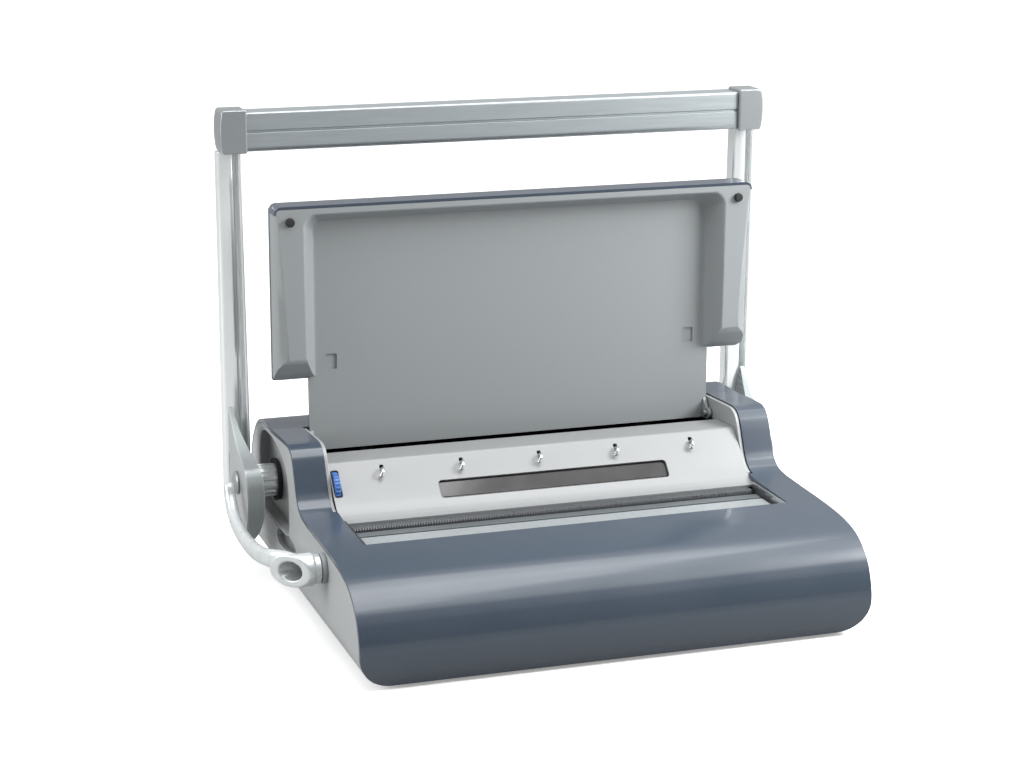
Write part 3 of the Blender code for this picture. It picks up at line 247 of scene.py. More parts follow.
def block(name, low, high):
    return extrusion(name, "z", rectangle(*low[:2], *high[:2]), low[2], high[2])


def rod(name, axis, centre, radius, start, end, sides=64):
    return extrusion(name, axis, circle(centre, radius, sides), start, end)


def revolved(name, axis, centre, profile, sides=64):
    """Closed profile of (place along the axis, radius) turned about the axis."""
    put = AXES[axis]
    return lofted(name, [[put(a, b, along) for a, b in circle(centre, radius, sides)]
                         for along, radius in profile], False)


def lofted(name, layers, ends=True):
    """Solid through outlines of the same number of points, closed by its two ends or back to its start."""
    shape = bmesh.new()
    rings = [[shape.verts.new(point) for point in layer] for layer in layers]
    if ends:
        shape.faces.new(rings[0])
        shape.faces.new(rings[-1][::-1])
    else:
        rings.append(rings[0])
    for ring, follow in zip(rings, rings[1:]):
        for index in range(len(ring)):
            after = (index + 1) % len(ring)
            shape.faces.new((ring[index], ring[after], follow[after], follow[index]))
    return from_bmesh(name, shape)


def oval(sides=28, power=0.85):
    """Unit outline of a rounded bar."""
    turns = [2 * math.pi * side / sides for side in range(sides)]
    return [tuple(math.copysign(abs(part) ** power, part) for part in (math.cos(turn), math.sin(turn)))
            for turn in turns]


def swept(name, path, halves, section):
    """Bar of a unit section along a path: halves are its half sizes along x and across the path."""
    layers = []
    last = len(path) - 1
    for index, (point, (along_x, across)) in enumerate(zip(path, halves)):
        before, after = path[max(index - 1, 0)], path[min(index + 1, last)]
        travel = Vector((0, after[1] - before[1], after[2] - before[2])).normalized()
        normal = Vector((0, -travel.z, travel.y))
        layers.append([tuple(Vector(point) + Vector((wide * along_x, 0, 0)) + normal * (high * across))
                       for wide, high in section])
    return lofted(name, layers)


def settled(target):
    """Turn the object's modifiers into its mesh."""
    graph = bpy.context.evaluated_depsgraph_get()
    mesh = bpy.data.meshes.new_from_object(target.evaluated_get(graph))
    target.modifiers.clear()
    target.data = mesh
    return target


def add_modifier(target, kind, **settings):
    step = target.modifiers.new(kind.lower(), kind)
    for name, value in settings.items():
        setattr(step, name, value)


def combined(target, other, operation):
    add_modifier(target, "BOOLEAN", operation=operation, solver="EXACT", object=other)
    settled(target)
    bpy.data.objects.remove(other, do_unlink=True)
    return target


def carve(target, *tools):
    for tool in tools:
        combined(target, tool, "DIFFERENCE")
    return target


def fuse(target, *others):
    for other in others:
        combined(target, other, "UNION")
    return target


def gathered(name, objects):
    """Separate shapes in one object, for use as one tool."""
    shape = bmesh.new()
    for item in objects:
        shape.from_mesh(item.data)
        bpy.data.objects.remove(item, do_unlink=True)
    return from_bmesh(name, shape)


def eased(target, width=0.5, segments=3, angle=34):
    """Round the edges, then shade smoothly with the flat faces kept flat."""
    shape = bmesh.new()
    shape.from_mesh(target.data)
    bmesh.ops.remove_doubles(shape, verts=shape.verts, dist=0.004)
    bmesh.ops.dissolve_degenerate(shape, edges=shape.edges, dist=0.004)
    shape.to_mesh(target.data)
    shape.free()
    if width > 0:
        add_modifier(target, "BEVEL", width=width, segments=segments, limit_method="ANGLE",
                     angle_limit=math.radians(angle), use_clamp_overlap=True, loop_slide=True)
    settled(target)
    target.data.shade_smooth()
    target.data.set_sharp_from_angle(angle=math.radians(34))
    add_modifier(target, "WEIGHTED_NORMAL", keep_sharp=True, weight=80)
    return settled(target)


def blended(target, size, turns):
    """Melt the joins of a cast piece: an even mesh of the given size, smoothed."""
    add_modifier(target, "REMESH", mode="VOXEL", voxel_size=size)
    settled(target)
    add_modifier(target, "SMOOTH", factor=0.5, iterations=turns)
    settled(target)
    target.data.shade_smooth()
    return target


def softened(node, body, slot, width=0.3, finish=None):
    """The frame's own piece with its edges eased."""
    source = frame["nodes"][node]
    shape = bmesh.new()
    shape.from_mesh(source.data)
    shape.transform(Matrix.Scale(1 / MILLIMETRE, 4) @ Matrix.Translation(-ORIGIN) @ source.matrix_world)
    bmesh.ops.remove_doubles(shape, verts=shape.verts, dist=0.002)
    bmesh.ops.dissolve_limit(shape, angle_limit=math.radians(0.6), verts=shape.verts, edges=shape.edges)
    made = from_bmesh(node + "_eased", shape)
    return dressed(eased(made, width, 2, 38), body, slot, node, finish=finish)


def dressed(target, body, slot, *nodes, finish=None):
    """Put a piece made in millimetres into the frame, with its finish, and let it stand for its nodes."""
    target.data.transform(Matrix.Translation(ORIGIN) @ Matrix.Scale(MILLIMETRE, 4))
    target.data.materials.clear()
    target.data.materials.append(finishes[finish or SLOT_FINISHES[slot]])
    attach(target, body)
    if nodes:
        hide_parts(*nodes)
    return target


def sides(name):
    return ((name + "_left", -1), (name + "_right", 1))


def mirrored(side, points):
    """Profile drawn for the right side, put at the given side."""
    return [(side * across, other) for across, other in points]


def span(side, inner, outer):
    """Two places at one side of the machine, the lower first."""
    return sorted((side * inner, side * outer))


# Patterns

def make_pattern_tree():
    """Geometry nodes that copy an item along a step, each copy turned further about the x axis."""
    tree = bpy.data.node_groups.new("copies_in_a_row", "GeometryNodeTree")
    for name, kind in (("Item", "Object"), ("Count", "Int"), ("Start", "Vector"), ("Step", "Vector"),
                       ("Turn", "Float"), ("Finish", "Material")):
        tree.interface.new_socket(name=name, in_out="INPUT", socket_type="NodeSocket" + kind)
    tree.interface.new_socket(name="Geometry", in_out="OUTPUT", socket_type="NodeSocketGeometry")
    given = add_node(tree, "NodeGroupInput").outputs
    line = add_node(tree, "GeometryNodeMeshLine", {
        "Count": given["Count"], "Start Location": given["Start"], "Offset": given["Step"]}, mode="OFFSET")
    item = add_node(tree, "GeometryNodeObjectInfo", {"Object": given["Item"]}, transform_space="ORIGINAL")
    turn = add_node(tree, "ShaderNodeMath", {
        0: add_node(tree, "GeometryNodeInputIndex").outputs[0], 1: given["Turn"]}, operation="MULTIPLY")
    turns = add_node(tree, "ShaderNodeCombineXYZ", {"X": turn.outputs[0]})
    copies = add_node(tree, "GeometryNodeInstanceOnPoints", {
        "Points": line.outputs["Mesh"], "Instance": item.outputs["Geometry"], "Rotation": turns.outputs[0]})
    solid = add_node(tree, "GeometryNodeRealizeInstances", {"Geometry": copies.outputs[0]})
    faced = add_node(tree, "GeometryNodeSetMaterial", {
        "Geometry": solid.outputs[0], "Material": given["Finish"]})
    add_node(tree, "NodeGroupOutput", {"Geometry": faced.outputs[0]})
    return tree


def repeated(name, item, finish, count, start, step=(0, 0, 0), turn=0.0):
    """Count copies of the item as one mesh. The item itself is used up."""
    tree = bpy.data.node_groups.get("copies_in_a_row") or make_pattern_tree()
    holder = from_bmesh(name, bmesh.new())
    modifier = holder.modifiers.new("copies", "NODES")
    modifier.node_group = tree
    wanted = dict(Item=item, Count=count, Start=start, Step=step, Turn=turn, Finish=finishes[finish])
    for socket in tree.interface.items_tree:
        if socket.in_out == "INPUT":
            modifier[socket.identifier] = wanted[socket.name]
    settled(holder)
    bpy.data.objects.remove(item, do_unlink=True)
    return holder


# Materials

finishes = {}
SLOT_FINISHES = {
    "blue_painted_moulding": "lacquered_abs_blue_grey",
    "deep_blue_moulding": "lacquered_abs_deep_blue",
    "silver_moulding": "silver_painted_abs",
    "satin_panel": "silver_coated_sheet",
    "grey_moulding": "spark_grained_abs_grey",
    "bright_handle_metal": "bright_dipped_aluminium",
    "satin_grip_metal": "anodised_aluminium",
    "ground_steel": "ground_steel",
    "zinc_plated_steel": "zinc_plated_steel",
    "dark_moulding": "moulded_abs_black",
    "black_rubber": "moulded_rubber",
    "smoked_window": "smoked_acrylic",
    "wheel_moulding": "moulded_abs_blue",
}


def linear(hex_colour):
    channels = []
    for start in (0, 2, 4):
        value = int(hex_colour[start:start + 2], 16) / 255
        channels.append(value / 12.92 if value <= 0.04045 else ((value + 0.055) / 1.055) ** 2.4)
    return (*channels, 1.0)


def feed(tree, node, inputs):
    """Give inputs of a node their values, or link them to other nodes' outputs."""
    for name, value in inputs.items():
        if isinstance(value, bpy.types.NodeSocket):
            tree.links.new(value, node.inputs[name])
        else:
            node.inputs[name].default_value = value


def add_node(tree, kind, inputs=None, **settings):
    made = tree.nodes.new(kind)
    for name, value in settings.items():
        setattr(made, name, value)
    feed(tree, made, inputs or {})
    return made


def new_finish(name, colour, roughness, metallic=0.0, **extra):
    """A Principled material with its object coordinates in millimetres."""
    made = bpy.data.materials.new(name)
    made.use_nodes = True
    tree = made.node_tree
    shader = tree.nodes["Principled BSDF"]
    feed(tree, shader, {"Base Color": linear(colour), "Roughness": roughness, "Metallic": metallic})
    feed(tree, shader, {socket.replace("_", " "): value for socket, value in extra.items()})
    made.diffuse_color = linear(colour)
    place = add_node(tree, "ShaderNodeTexCoord").outputs["Object"]
    scaled = add_node(tree, "ShaderNodeVectorMath", {"Scale": 1000.0, 0: place}, operation="SCALE")
    finishes[name] = made
    return tree, shader, scaled.outputs[0]


def grain(tree, place, size, detail=2.0, stretch=(1, 1, 1)):
    """Grain whose features are about size millimetres across, drawn out along an axis by stretch."""
    scale = tuple(1 / (size * s) for s in stretch)
    spread = add_node(tree, "ShaderNodeMapping", {"Scale": scale, "Vector": place}, vector_type="POINT")
    return add_node(tree, "ShaderNodeTexNoise", {
        "Scale": 1.0, "Detail": detail, "Roughness": 0.55, "Vector": spread.outputs[0]}).outputs["Fac"]


def mottled(name, tints, sizes, roughness, metallic=0.0, bump=None, **extra):
    """Finish whose colour shifts between two tints with its grain, given by size, detail and stretch.

    A range of roughness follows the grain, or a grain of its own when a size comes after it.
    The bump is a strength and a depth in millimetres, and follows likewise.
    """
    varies = isinstance(roughness, tuple)
    first_roughness = roughness[0] if varies else roughness
    tree, shader, place = new_finish(name, tints[0], first_roughness, metallic, **extra)
    pattern = grain(tree, place, *sizes)
    share = add_node(tree, "ShaderNodeMapRange", {"Value": pattern, **GRAIN_SPAN})
    colour = add_node(tree, "ShaderNodeMix", {
        "Factor": share.outputs["Result"], 6: linear(tints[0]), 7: linear(tints[1])}, data_type="RGBA")
    feed(tree, shader, {"Base Color": colour.outputs[2]})
    if varies:
        low, high, *own = roughness
        source = grain(tree, place, *own) if own else pattern
        polish = add_node(tree, "ShaderNodeMapRange", {
            "Value": source, **GRAIN_SPAN, "To Min": low, "To Max": high})
        feed(tree, shader, {"Roughness": polish.outputs["Result"]})
    if bump:
        strength, depth, *own = bump
        relief = add_node(tree, "ShaderNodeBump", {
            "Strength": strength, "Distance": depth * MILLIMETRE,
            "Height": grain(tree, place, *own) if own else pattern})
        feed(tree, shader, {"Normal": relief.outputs[0]})


def paint_plain_finishes(skin):
    # Blue grey gloss lacquer on a moulded ABS case: soft reflections with a faint fleck.
    mottled("lacquered_abs_blue_grey", ("2c3745", "37434f"), (0.35, 1.0), (0.30, 0.38, 60.0),
            bump=(skin * 0.5, 0.02, 1.8, 1.0), Coat_Weight=0.5, Coat_Roughness=0.12)
    # The same lacquer in a deeper tone on the lid's skin and the rear cover.
    mottled("lacquered_abs_deep_blue", ("2a3544", "35414f"), (0.35, 1.0), 0.34,
            bump=(skin * 0.5, 0.02, 1.8, 1.0), Coat_Weight=0.5, Coat_Roughness=0.12)
    # Silver painted ABS: light, satin, with a fine metallic grain.
    mottled("silver_painted_abs", ("979a9b", "a1a4a5"), (0.3, 1.0), (0.38, 0.48, 25.0), 0.1,
            (skin * 0.4, 0.015))
    # Silver powder coat on folded sheet steel: even and satin, with a very fine skin.
    mottled("silver_coated_sheet", ("868889", "8d8f90"), (0.4, 1.0), 0.40, 0.15,
            (skin * 0.4, 0.02, 1.2, 1.0))
    # Pale grey ABS from an eroded mould: matt, with a fine spark grain.
    mottled("spark_grained_abs_grey", ("818587", "8b9091"), (0.55,), 0.50, bump=(skin, 0.04))
    # Bright dipped aluminium extrusion, drawn along its length: the arms and the collars are nearly mirrors.
    mottled("bright_dipped_aluminium", ("e6eaeb", "f0f3f3"), (0.5, 2.0, (1, 1, 90)), (0.12, 0.22), 0.6)
    # Satin anodised aluminium extrusion: grey, with faint lines along the handle.
    mottled("anodised_aluminium", ("9fa6a9", "a9b0b3"), (0.5, 2.0, (110, 1, 1)), (0.38, 0.46), 0.8,
            (0.15, 0.01))
    # Bright nickel plated steel on the hooks, the screws and the channel's end: a soft mirror.
    mottled("bright_steel", ("b8bbbd", "cccfd0"), (3.0,), (0.16, 0.26), 0.9)
    # Satin grey ABS of the handle's end blocks and the hub caps: smooth, a little metallic paint.
    mottled("satin_grey_abs", ("8f9496", "979c9e"), (0.4, 1.0), 0.32, 0.6, (skin * 0.3, 0.015))
    # Ground steel: grey metal with grinding marks across its length.
    mottled("ground_steel", ("707376", "888b8e"), (0.3, 2.0, (1, 30, 30)), (0.26, 0.46), 0.7, (0.2, 0.01))
    # Dark ABS of the inner mouldings: nearly black, dull.
    mottled("moulded_abs_black", ("222326", "2c2d30"), (0.6,), 0.55, bump=(skin, 0.04))
    # Moulded rubber: dull black with a faint bloom.
    mottled("moulded_rubber", ("161617", "232324"), (6.0, 3.0), 0.78, bump=(0.5, 0.05, 0.8))
    # Smoked acrylic: dark, glossy and slightly see-through.
    mottled("smoked_acrylic", ("262425", "353334"), (18.0,), (0.07, 0.14), Transmission_Weight=0.35,
            Coat_Weight=0.4, Coat_Roughness=0.04)
    # Blue ABS wheel: satin, rubbed a little brighter.
    mottled("moulded_abs_blue", ("3a629f", "4772b2"), (2.0,), 0.38, bump=(skin * 0.6, 0.03, 0.5))


def paint_chromed_cast():
    # Satin chromed casting: pale, softly bright, with a cloudy polish, and painted shade inside the ring's
    # mouth: darker colour and less metal there.
    tree, shader, place = new_finish("satin_chromed_cast", "c9cecf", 0.30, 0.45)
    cloud = grain(tree, place, 9.0)
    share = add_node(tree, "ShaderNodeMapRange", {"Value": cloud, **GRAIN_SPAN})
    polish = add_node(tree, "ShaderNodeMapRange", {
        "Value": cloud, **GRAIN_SPAN, "To Min": 0.26, "To Max": 0.36})
    from_axis = add_node(tree, "ShaderNodeVectorMath", {0: place, 1: LEVER_PLACE}, operation="SUBTRACT")
    across = add_node(tree, "ShaderNodeVectorMath", {
        0: from_axis.outputs[0], 1: (0, 1, 1)}, operation="MULTIPLY")
    reach = add_node(tree, "ShaderNodeVectorMath", {0: across.outputs[0]}, operation="LENGTH")
    radius = reach.outputs["Value"]
    # Painted shade: inside the mouth the colour turns dark grey and the metallic share drops to nothing.
    beyond_mouth_shade = add_node(tree, "ShaderNodeMapRange", {"Value": radius, **MOUTH_SHADE_EDGE})
    metal = add_node(tree, "ShaderNodeMapRange", {"Value": radius, **MOUTH_SHADE_EDGE, "To Max": 0.45})
    outer = add_node(tree, "ShaderNodeMix", {
        "Factor": share.outputs["Result"], 6: linear("c4c9ca"), 7: linear("cfd3d4")}, data_type="RGBA")
    colour = add_node(tree, "ShaderNodeMix", {
        "Factor": beyond_mouth_shade.outputs["Result"], 6: linear("53585a"), 7: outer.outputs[2]}, data_type="RGBA")
    feed(tree, shader, {"Base Color": colour.outputs[2], "Roughness": polish.outputs["Result"],
                        "Metallic": metal.outputs["Result"]})


def paint_hub():
    # Hub casting: silver side plates and a ribbed edge between them, painted darker grey as the shade of that
    # edge.
    tree, shader, place = new_finish("hub_painted_rim_shade", "a2a6a7", 0.36, 0.4)
    distance = add_node(tree, "ShaderNodeSeparateXYZ", {0: place}).outputs[0]
    # How far a place is from the machine's middle, then how far that is from the hub's middle.
    for middle in (ORIGIN.x / MILLIMETRE, HUB_MIDDLE):
        apart = add_node(tree, "ShaderNodeMath", {0: distance, 1: middle}, operation="SUBTRACT")
        distance = add_node(tree, "ShaderNodeMath", {0: apart.outputs[0]}, operation="ABSOLUTE").outputs[0]
    ribs = add_node(tree, "ShaderNodeTexWave", {"Scale": 0.35, "Distortion": 0.4, "Vector": place},
                    bands_direction="X")
    # The rim's darker greys are painted shade; the side plates keep the silver.
    shaded_rim = add_node(tree, "ShaderNodeMix", {
        "Factor": ribs.outputs["Fac"], 6: linear("83898a"), 7: linear("9ba1a2")}, data_type="RGBA")
    plate = add_node(tree, "ShaderNodeMapRange", {"Value": distance, **RIM_SHADE_EDGE})
    colour = add_node(tree, "ShaderNodeMix", {
        "Factor": plate.outputs["Result"], 6: shaded_rim.outputs[2], 7: linear("a2a6a7")}, data_type="RGBA")
    feed(tree, shader, {"Base Color": colour.outputs[2]})


def paint_zinc():
    # Zinc plated sheet with a faint crystal spangle. Its rolled rear edge, where the plate turns down, is
    # painted darker as shade.
    tree, shader, place = new_finish("zinc_plated_steel", "9da3a5", 0.33, 0.5)
    scaled = add_node(tree, "ShaderNodeMapping", {"Scale": (0.55, 0.9, 0.9), "Vector": place})
    spangle = add_node(tree, "ShaderNodeTexVoronoi", {"Scale": 1.0, "Vector": scaled.outputs[0]})
    shade = add_node(tree, "ShaderNodeSeparateColor", {"Color": spangle.outputs["Color"]})
    split = add_node(tree, "ShaderNodeSeparateXYZ", {0: place})
    plate = add_node(tree, "ShaderNodeMix", {
        "Factor": shade.outputs[0], 6: linear("9da3a5"), 7: linear("a9aeb0")}, data_type="RGBA")
    # Painted shade: the plate turns dark grey where it rolls down at its rear edge.
    edge = add_node(tree, "ShaderNodeMapRange", {"Value": split.outputs[1], **NOSE_SHADE_EDGE})
    colour = add_node(tree, "ShaderNodeMix", {
        "Factor": edge.outputs["Result"], 6: plate.outputs[2], 7: linear("61676a")}, data_type="RGBA")
    polish = add_node(tree, "ShaderNodeMapRange", {"Value": shade.outputs[1], "To Min": 0.31, "To Max": 0.36})
    relief = add_node(tree, "ShaderNodeBump", {
        "Strength": 0.04, "Distance": 0.02 * MILLIMETRE, "Height": shade.outputs[0]})
    feed(tree, shader, {"Base Color": colour.outputs[2], "Roughness": polish.outputs["Result"],
                        "Normal": relief.outputs[0]})


# Case

def case_section(inset):
    half = CASE_HALF - inset
    radius = CORNER_RADIUS - inset
    left = arc((-half + radius, CORNER_RADIUS), radius, math.pi, math.pi * 1.5, 16)
    right = arc((half - radius, CORNER_RADIUS), radius, math.pi * 1.5, math.pi * 2, 16)
    return [(-half, 400)] + left + right + [(half, 400)]


def cover_line():
    return smooth_path(COVER_PATH)


def rear_line():
    return smooth_path(REAR_PATH)


def cover_shell(name, outer, grounded):
    """Skin along a line across the case, with its inner side brought to the ground at one end."""
    inner = shifted_path(outer, WALL)
    inner[grounded] = (inner[grounded][0], 0)
    cover = extrusion(name, "x", outer + inner[::-1], -CASE_HALF, CASE_HALF)
    return combined(cover, extrusion("section", "y", case_section(0), *THROUGH), "INTERSECT")


def make_top_cover(edge):
    cover = cover_shell("top_cover_shell", cover_line(), 0)
    channel = rounded(symmetric([(PANEL_HALF, 93), (PANEL_HALF, 169, 0)]), 1.5)
    carve(cover, block("opening", (-TOWER_INNER, 165.8, 0), (TOWER_INNER, 345, 300)),
          extrusion("channel", "z", channel, 0, 300))
    dressed(eased(cover, edge), "chassis", "blue_painted_moulding", "top_cover")


def make_rear_cover(edge):
    cover = cover_shell("rear_cover_shell", rear_line(), -1)
    dressed(eased(cover, edge), "chassis", "deep_blue_moulding", "rear_cover")


def make_side_panels(edge):
    inner = shifted_path(cover_line() + rear_line(), WALL + GAP)
    inner = [(inner[0][0], 0)] + inner[1:-1] + [(inner[-1][0], 0)]
    well = smooth_loop(WELL_OUTLINE)
    for name, side in sides("side_panel"):
        panel = extrusion(name + "_shell", "y", case_section(0), 0, 345)
        carve(panel, extrusion("hollow", "y", case_section(WALL), *THROUGH),
              block("middle", (CORNER_RADIUS - CASE_HALF, -50, -50), (CASE_HALF * 2, 500, 500)))
        combined(panel, extrusion("inside", "x", inner, -300, 300), "INTERSECT")
        if side > 0:
            panel.data.transform(Matrix.Scale(-1, 4, (1, 0, 0)))
            panel.data.flip_normals()
        low, high = span(side, CASE_HALF + 5, CASE_HALF - 9)
        carve(panel, extrusion("well", "x", shifted_loop(well, GAP), low, high))
        if side < 0:
            carve(panel, rod("lever_hole", "x", LEVER, 10.5, low, high),
                  extrusion("scoop", "x", smooth_loop(SCOOP_OUTLINE), low, high))
        else:
            tray_hole = rounded(rectangle(195.7, 23.5, 250.3, 44.3), 1.0)
            carve(panel, extrusion("tray_hole", "x", tray_hole, low, high))
        dressed(eased(panel, edge), "chassis", "silver_moulding", name)


def smooth_loop(points, step=2.0):
    closed = [points[-1]] + list(points) + [points[0], points[1]]
    line = smooth_path(closed, step)
    first = min(range(len(line)), key=lambda i: (Vector(line[i]) - Vector(points[0])).length)
    last = max(i for i in range(len(line)) if (Vector(line[i]) - Vector(points[0])).length < 1e-4)
    return line[first:last]


def make_hub_wells(edge):
    outline = smooth_loop(WELL_OUTLINE)
    for name, side in sides("hub_well"):
        low, high = span(side, 189.9, CASE_HALF)
        cup = extrusion(name + "_cup", "x", outline, low, high)
        low, high = span(side, 191.7, CASE_HALF + 5)
        carve(cup, extrusion("inside", "x", shifted_loop(outline, -1.8), low, high),
              rod("bore", "x", HUB, 8.6, *span(side, 180, 210)))
        dressed(eased(cup, edge * 0.7), "chassis", "silver_moulding", name)
        low, high = span(side, 192.0, 195.6)
        seal = revolved(name.replace("hub_well", "shaft_seal"), "x", HUB,
                        [(low, 14.3), (high, 14.3), (high, 16.4), (low, 17.4)])
        dressed(eased(seal, 0.4), "chassis", "black_rubber")


def make_hand_scoop():
    """Shallow dark recess for the fingers in the left side."""
    cup = extrusion("hand_scoop", "x", shifted_loop(smooth_loop(SCOOP_OUTLINE), 1.2), -199.0, -192.0)
    carve(cup, extrusion("inside", "x", shifted_loop(smooth_loop(SCOOP_OUTLINE), 0.1), -210, -193.4))
    dressed(eased(cup, 0.4), "chassis", "grey_moulding")


def make_tower_cheeks():
    path = shifted_path(cover_line(), 1.2)
    top = [point for point in path if point[0] > 168.8]
    bottom = [(top[-1][0], 106.2), (202, 106.2), (top[0][0], 72.8)]
    for name, side in sides("tower_cheek"):
        low, high = span(side, 174.2, 171.4)
        cheek = extrusion(name + "_lining", "x", top + bottom, low, high)
        carve(cheek, rod("pin_hole", "x", HINGE, 3.3, low - 3, high + 3))
        dressed(eased(cheek, 0.4), "chassis", "silver_moulding", name)


# Punch panel

def on_panel(share, out=0.0):
    """Point of the sloping panel: share 0 at its foot, 1 at its bend, moved out from its face."""
    normal = Vector((-PANEL_RUN.y, PANEL_RUN.x)).normalized()
    return tuple(Vector(PANEL_FOOT) + PANEL_RUN * share + normal * out)


def along_panel(share, along, out=0.0):
    """Point of the sloping panel, moved along it by millimetres from its share."""
    return on_panel(share + along / PANEL_RUN.length, out)


def panel_tool(name, low_x, high_x, share, half_length, radius):
    """Rounded rectangular cutter that goes through the sloping panel."""
    outline = rounded(rectangle(low_x, -half_length, high_x, half_length), radius, 8)
    return lofted(name, [[(x, *along_panel(share, along, out)) for x, along in outline] for out in (-8, 8)])


def make_punch_panel(edge):
    foot = smooth_path([(155, 74.2), (159.5, 75.3), (164.5, 77.5), (169.3, 80.5), (173.8, 84.3),
                        (178.4, 88.9)])
    bend = rounded([on_panel(0.6)] + [(198.9, 110.4, 4.0), (232.5, 108.6, 2.0), (235, 105.9, 0)], 0, 8)[1:-1]
    outer = foot + [on_panel(0.6)] + bend + [(235, 105.9)]
    inner = shifted_path(outer, 2.0)
    panel = extrusion("punch_panel_sheet", "x", outer + inner[::-1], -PANEL_HALF, PANEL_HALF)
    carve(panel, panel_tool("window", -86.6, 104.5, WINDOW_SHARE, 8.0, 3.2),
          panel_tool("wheel_slot", -170.1, -163.6, WHEEL_SHARE, 11.9, 1.6), lance_holes())
    dressed(eased(panel, edge * 0.6), "chassis", "satin_panel", "punch_panel")


def make_window():
    outline = [along_panel(WINDOW_SHARE, *corner) for corner in (
        (-12, -3.5), (12, -3.5), (12, -2.3), (-5.4, -2.3), (-6.4, -1.4), (-7.6, -1.4), (-7.6, -2.3),
        (-12, -2.3))]
    pane = extrusion("window_glazing", "x", outline, -90.1, 108.2)
    dressed(eased(pane, 0.25), "chassis", "smoked_window", "window_pane")


def lance_holes():
    """The small openings that the hooks' tabs are bent out of."""
    share = HOOK_SHARE + 5.2 / PANEL_RUN.length
    middles = [HOOK_PITCH * place for place in range(-2, 3)]
    holes = [panel_tool("hole", middle - 0.9, middle + 2.5, share, 1.9, 1.2) for middle in middles]
    return gathered("lance_holes", holes)


def make_hooks():
    """Small bent wire hooks in a row on the panel, as one pattern."""
    line = [(0.9, 2.9, -1.8), (0.9, 2.8, 0.8), (0.8, 2.0, 3.0), (0.3, 0.0, 4.3), (-0.7, -2.4, 4.2),
            (-1.6, -4.0, 3.0), (-1.9, -4.5, 1.6)]
    middle = [(x, *along_panel(HOOK_SHARE, along, out)) for x, along, out in smooth_path(line, 0.4)]
    bead = [(1.7, 1.5), (1.9, 1.8), (2.0, 1.9), (1.9, 1.8), (1.6, 1.5), (1.1, 1.0), (0.5, 0.4)]
    halves = [(1.55, 1.3)] * (len(middle) - len(bead)) + bead
    hook = swept("hook", middle, halves, oval(16, 1.0))
    blended(hook, 0.25, 6)
    hooks = repeated("wire_hooks", hook, "bright_steel", 5, (-2 * HOOK_PITCH, 0, 0), (HOOK_PITCH, 0, 0))
    hooks.data.shade_smooth()
    names = ["wire_hook_%d" % number for number in range(1, 6)]
    dressed(hooks, "chassis", "zinc_plated_steel", *names, finish="bright_steel")


def make_thumbwheel():
    profile = [(-169.2, 2.8), (-164.8, 2.8), (-164.8, 10.6), (-165.5, 11.3), (-168.5, 11.3), (-169.2, 10.6)]
    core = revolved("thumbwheel_core", "x", WHEEL, profile, 96)
    tip = rounded([(10.8, -0.85), (12.0, -0.55), (12.0, 0.55), (10.8, 0.85)], 0.35, 3)
    ridge = extrusion("ridge", "x", tip, -168.9, -165.1)
    eased(ridge, 0.2)
    ridges = repeated("ridges", ridge, "moulded_abs_blue", 24, (0, *WHEEL), turn=math.pi / 12)
    wheel = gathered("thumbwheel_ridged", [core, ridges])
    dressed(eased(wheel, 0), "thumbwheel", "wheel_moulding", "thumbwheel")


def make_wheel_surround():
    """Black lining of the wheel's slot."""
    lining = panel_tool("wheel_slot_lining", -169.95, -163.75, WHEEL_SHARE, 11.75, 1.4)
    carve(lining, panel_tool("opening", -169.5, -164.2, WHEEL_SHARE, 11.2, 1.2))
    for name, low, high in (("under", -9, -2.6), ("over", 0.25, 9)):
        slab = [on_panel(*corner) for corner in rectangle(-0.2, low, 1.3, high)]
        carve(lining, extrusion(name, "x", slab, -180, -150))
    dressed(eased(lining, 0), "chassis", "dark_moulding")


# Closer

def make_closer_bars():
    low, half = 52.9, 165.0
    outline = [(146, low), (161.5, low), (161.5, 72.2), (147.3, 72.2, 0.6), (146, 70.9, 0.6)]
    fixed = extrusion("fixed_bar", "x", rounded(outline, 0.3, 3), -half, half)
    tooth = extrusion("tooth", "z", rounded(rectangle(-0.62, 145.7, 0.62, 153), 0.2, 2), 62, 72.75)
    eased(tooth, 0.15)
    teeth = repeated("closer_teeth", tooth, "ground_steel", 156, (-164.0, 0, 0), (2.117, 0, 0))
    bar = gathered("closer_comb", [fixed, teeth])
    dressed(eased(bar, 0), "chassis", "ground_steel", "closer_fixed_bar")
    softened("closer_moving_bar", "closer_bar", "zinc_plated_steel", 0.45)


# Handle

# The x of each arm's left edge at the top, and the width there.
ARM_LEFT_EDGES = (-229.0, 210.0)
ARM_WIDTH = 19.0


def make_arms():
    section = [
        (0.0, 308.5), (0.3, 306.4), (1.3, 304.7), (3.0, 303.6), (6.3, 303.0), (9.4, 303.3), (11.4, 304.2),
        (12.5, 305.6), (12.9, 309.3), (15.6, 309.6), (16.0, 304.6), (16.7, 303.3), (17.9, 303.1),
        (18.8, 304.0), (19.0, 305.4), (19.0, 314.6), (18.0, 316.0), (1.4, 316.0), (0.0, 314.6),
    ]
    for (name, side), left in zip(sides("handle_arm"), ARM_LEFT_EDGES):
        # The rail grows wider downwards, away from its outer edge.
        kept = 0 if side < 0 else ARM_WIDTH
        layers = [[(left + kept + (x - kept) * share, y, z) for x, y in section]
                  for z, share in ((56.0, 1.13), (150.0, 1.11), (250.0, 1.05), (339.1, 1.0))]
        arm = lofted(name + "_rail", layers)
        dressed(eased(arm, 0.3), "handle", "bright_handle_metal", name)


def make_blocks():
    for name, side in sides("handle_block"):
        swell = [(208.0, 339.5), (227.4, 339.5), (228.6, 343.5), (229.4, 350.0), (229.6, 357.0),
                 (229.3, 364.5), (228.4, 370.5), (227.4, 373.5), (208.0, 373.5)]
        block_shape = extrusion(name + "_cap", "y", mirrored(side, swell), 287.5, 312.5)
        dressed(eased(block_shape, 1.5, 4, 40), "handle", "grey_moulding", name, finish="satin_grey_abs")


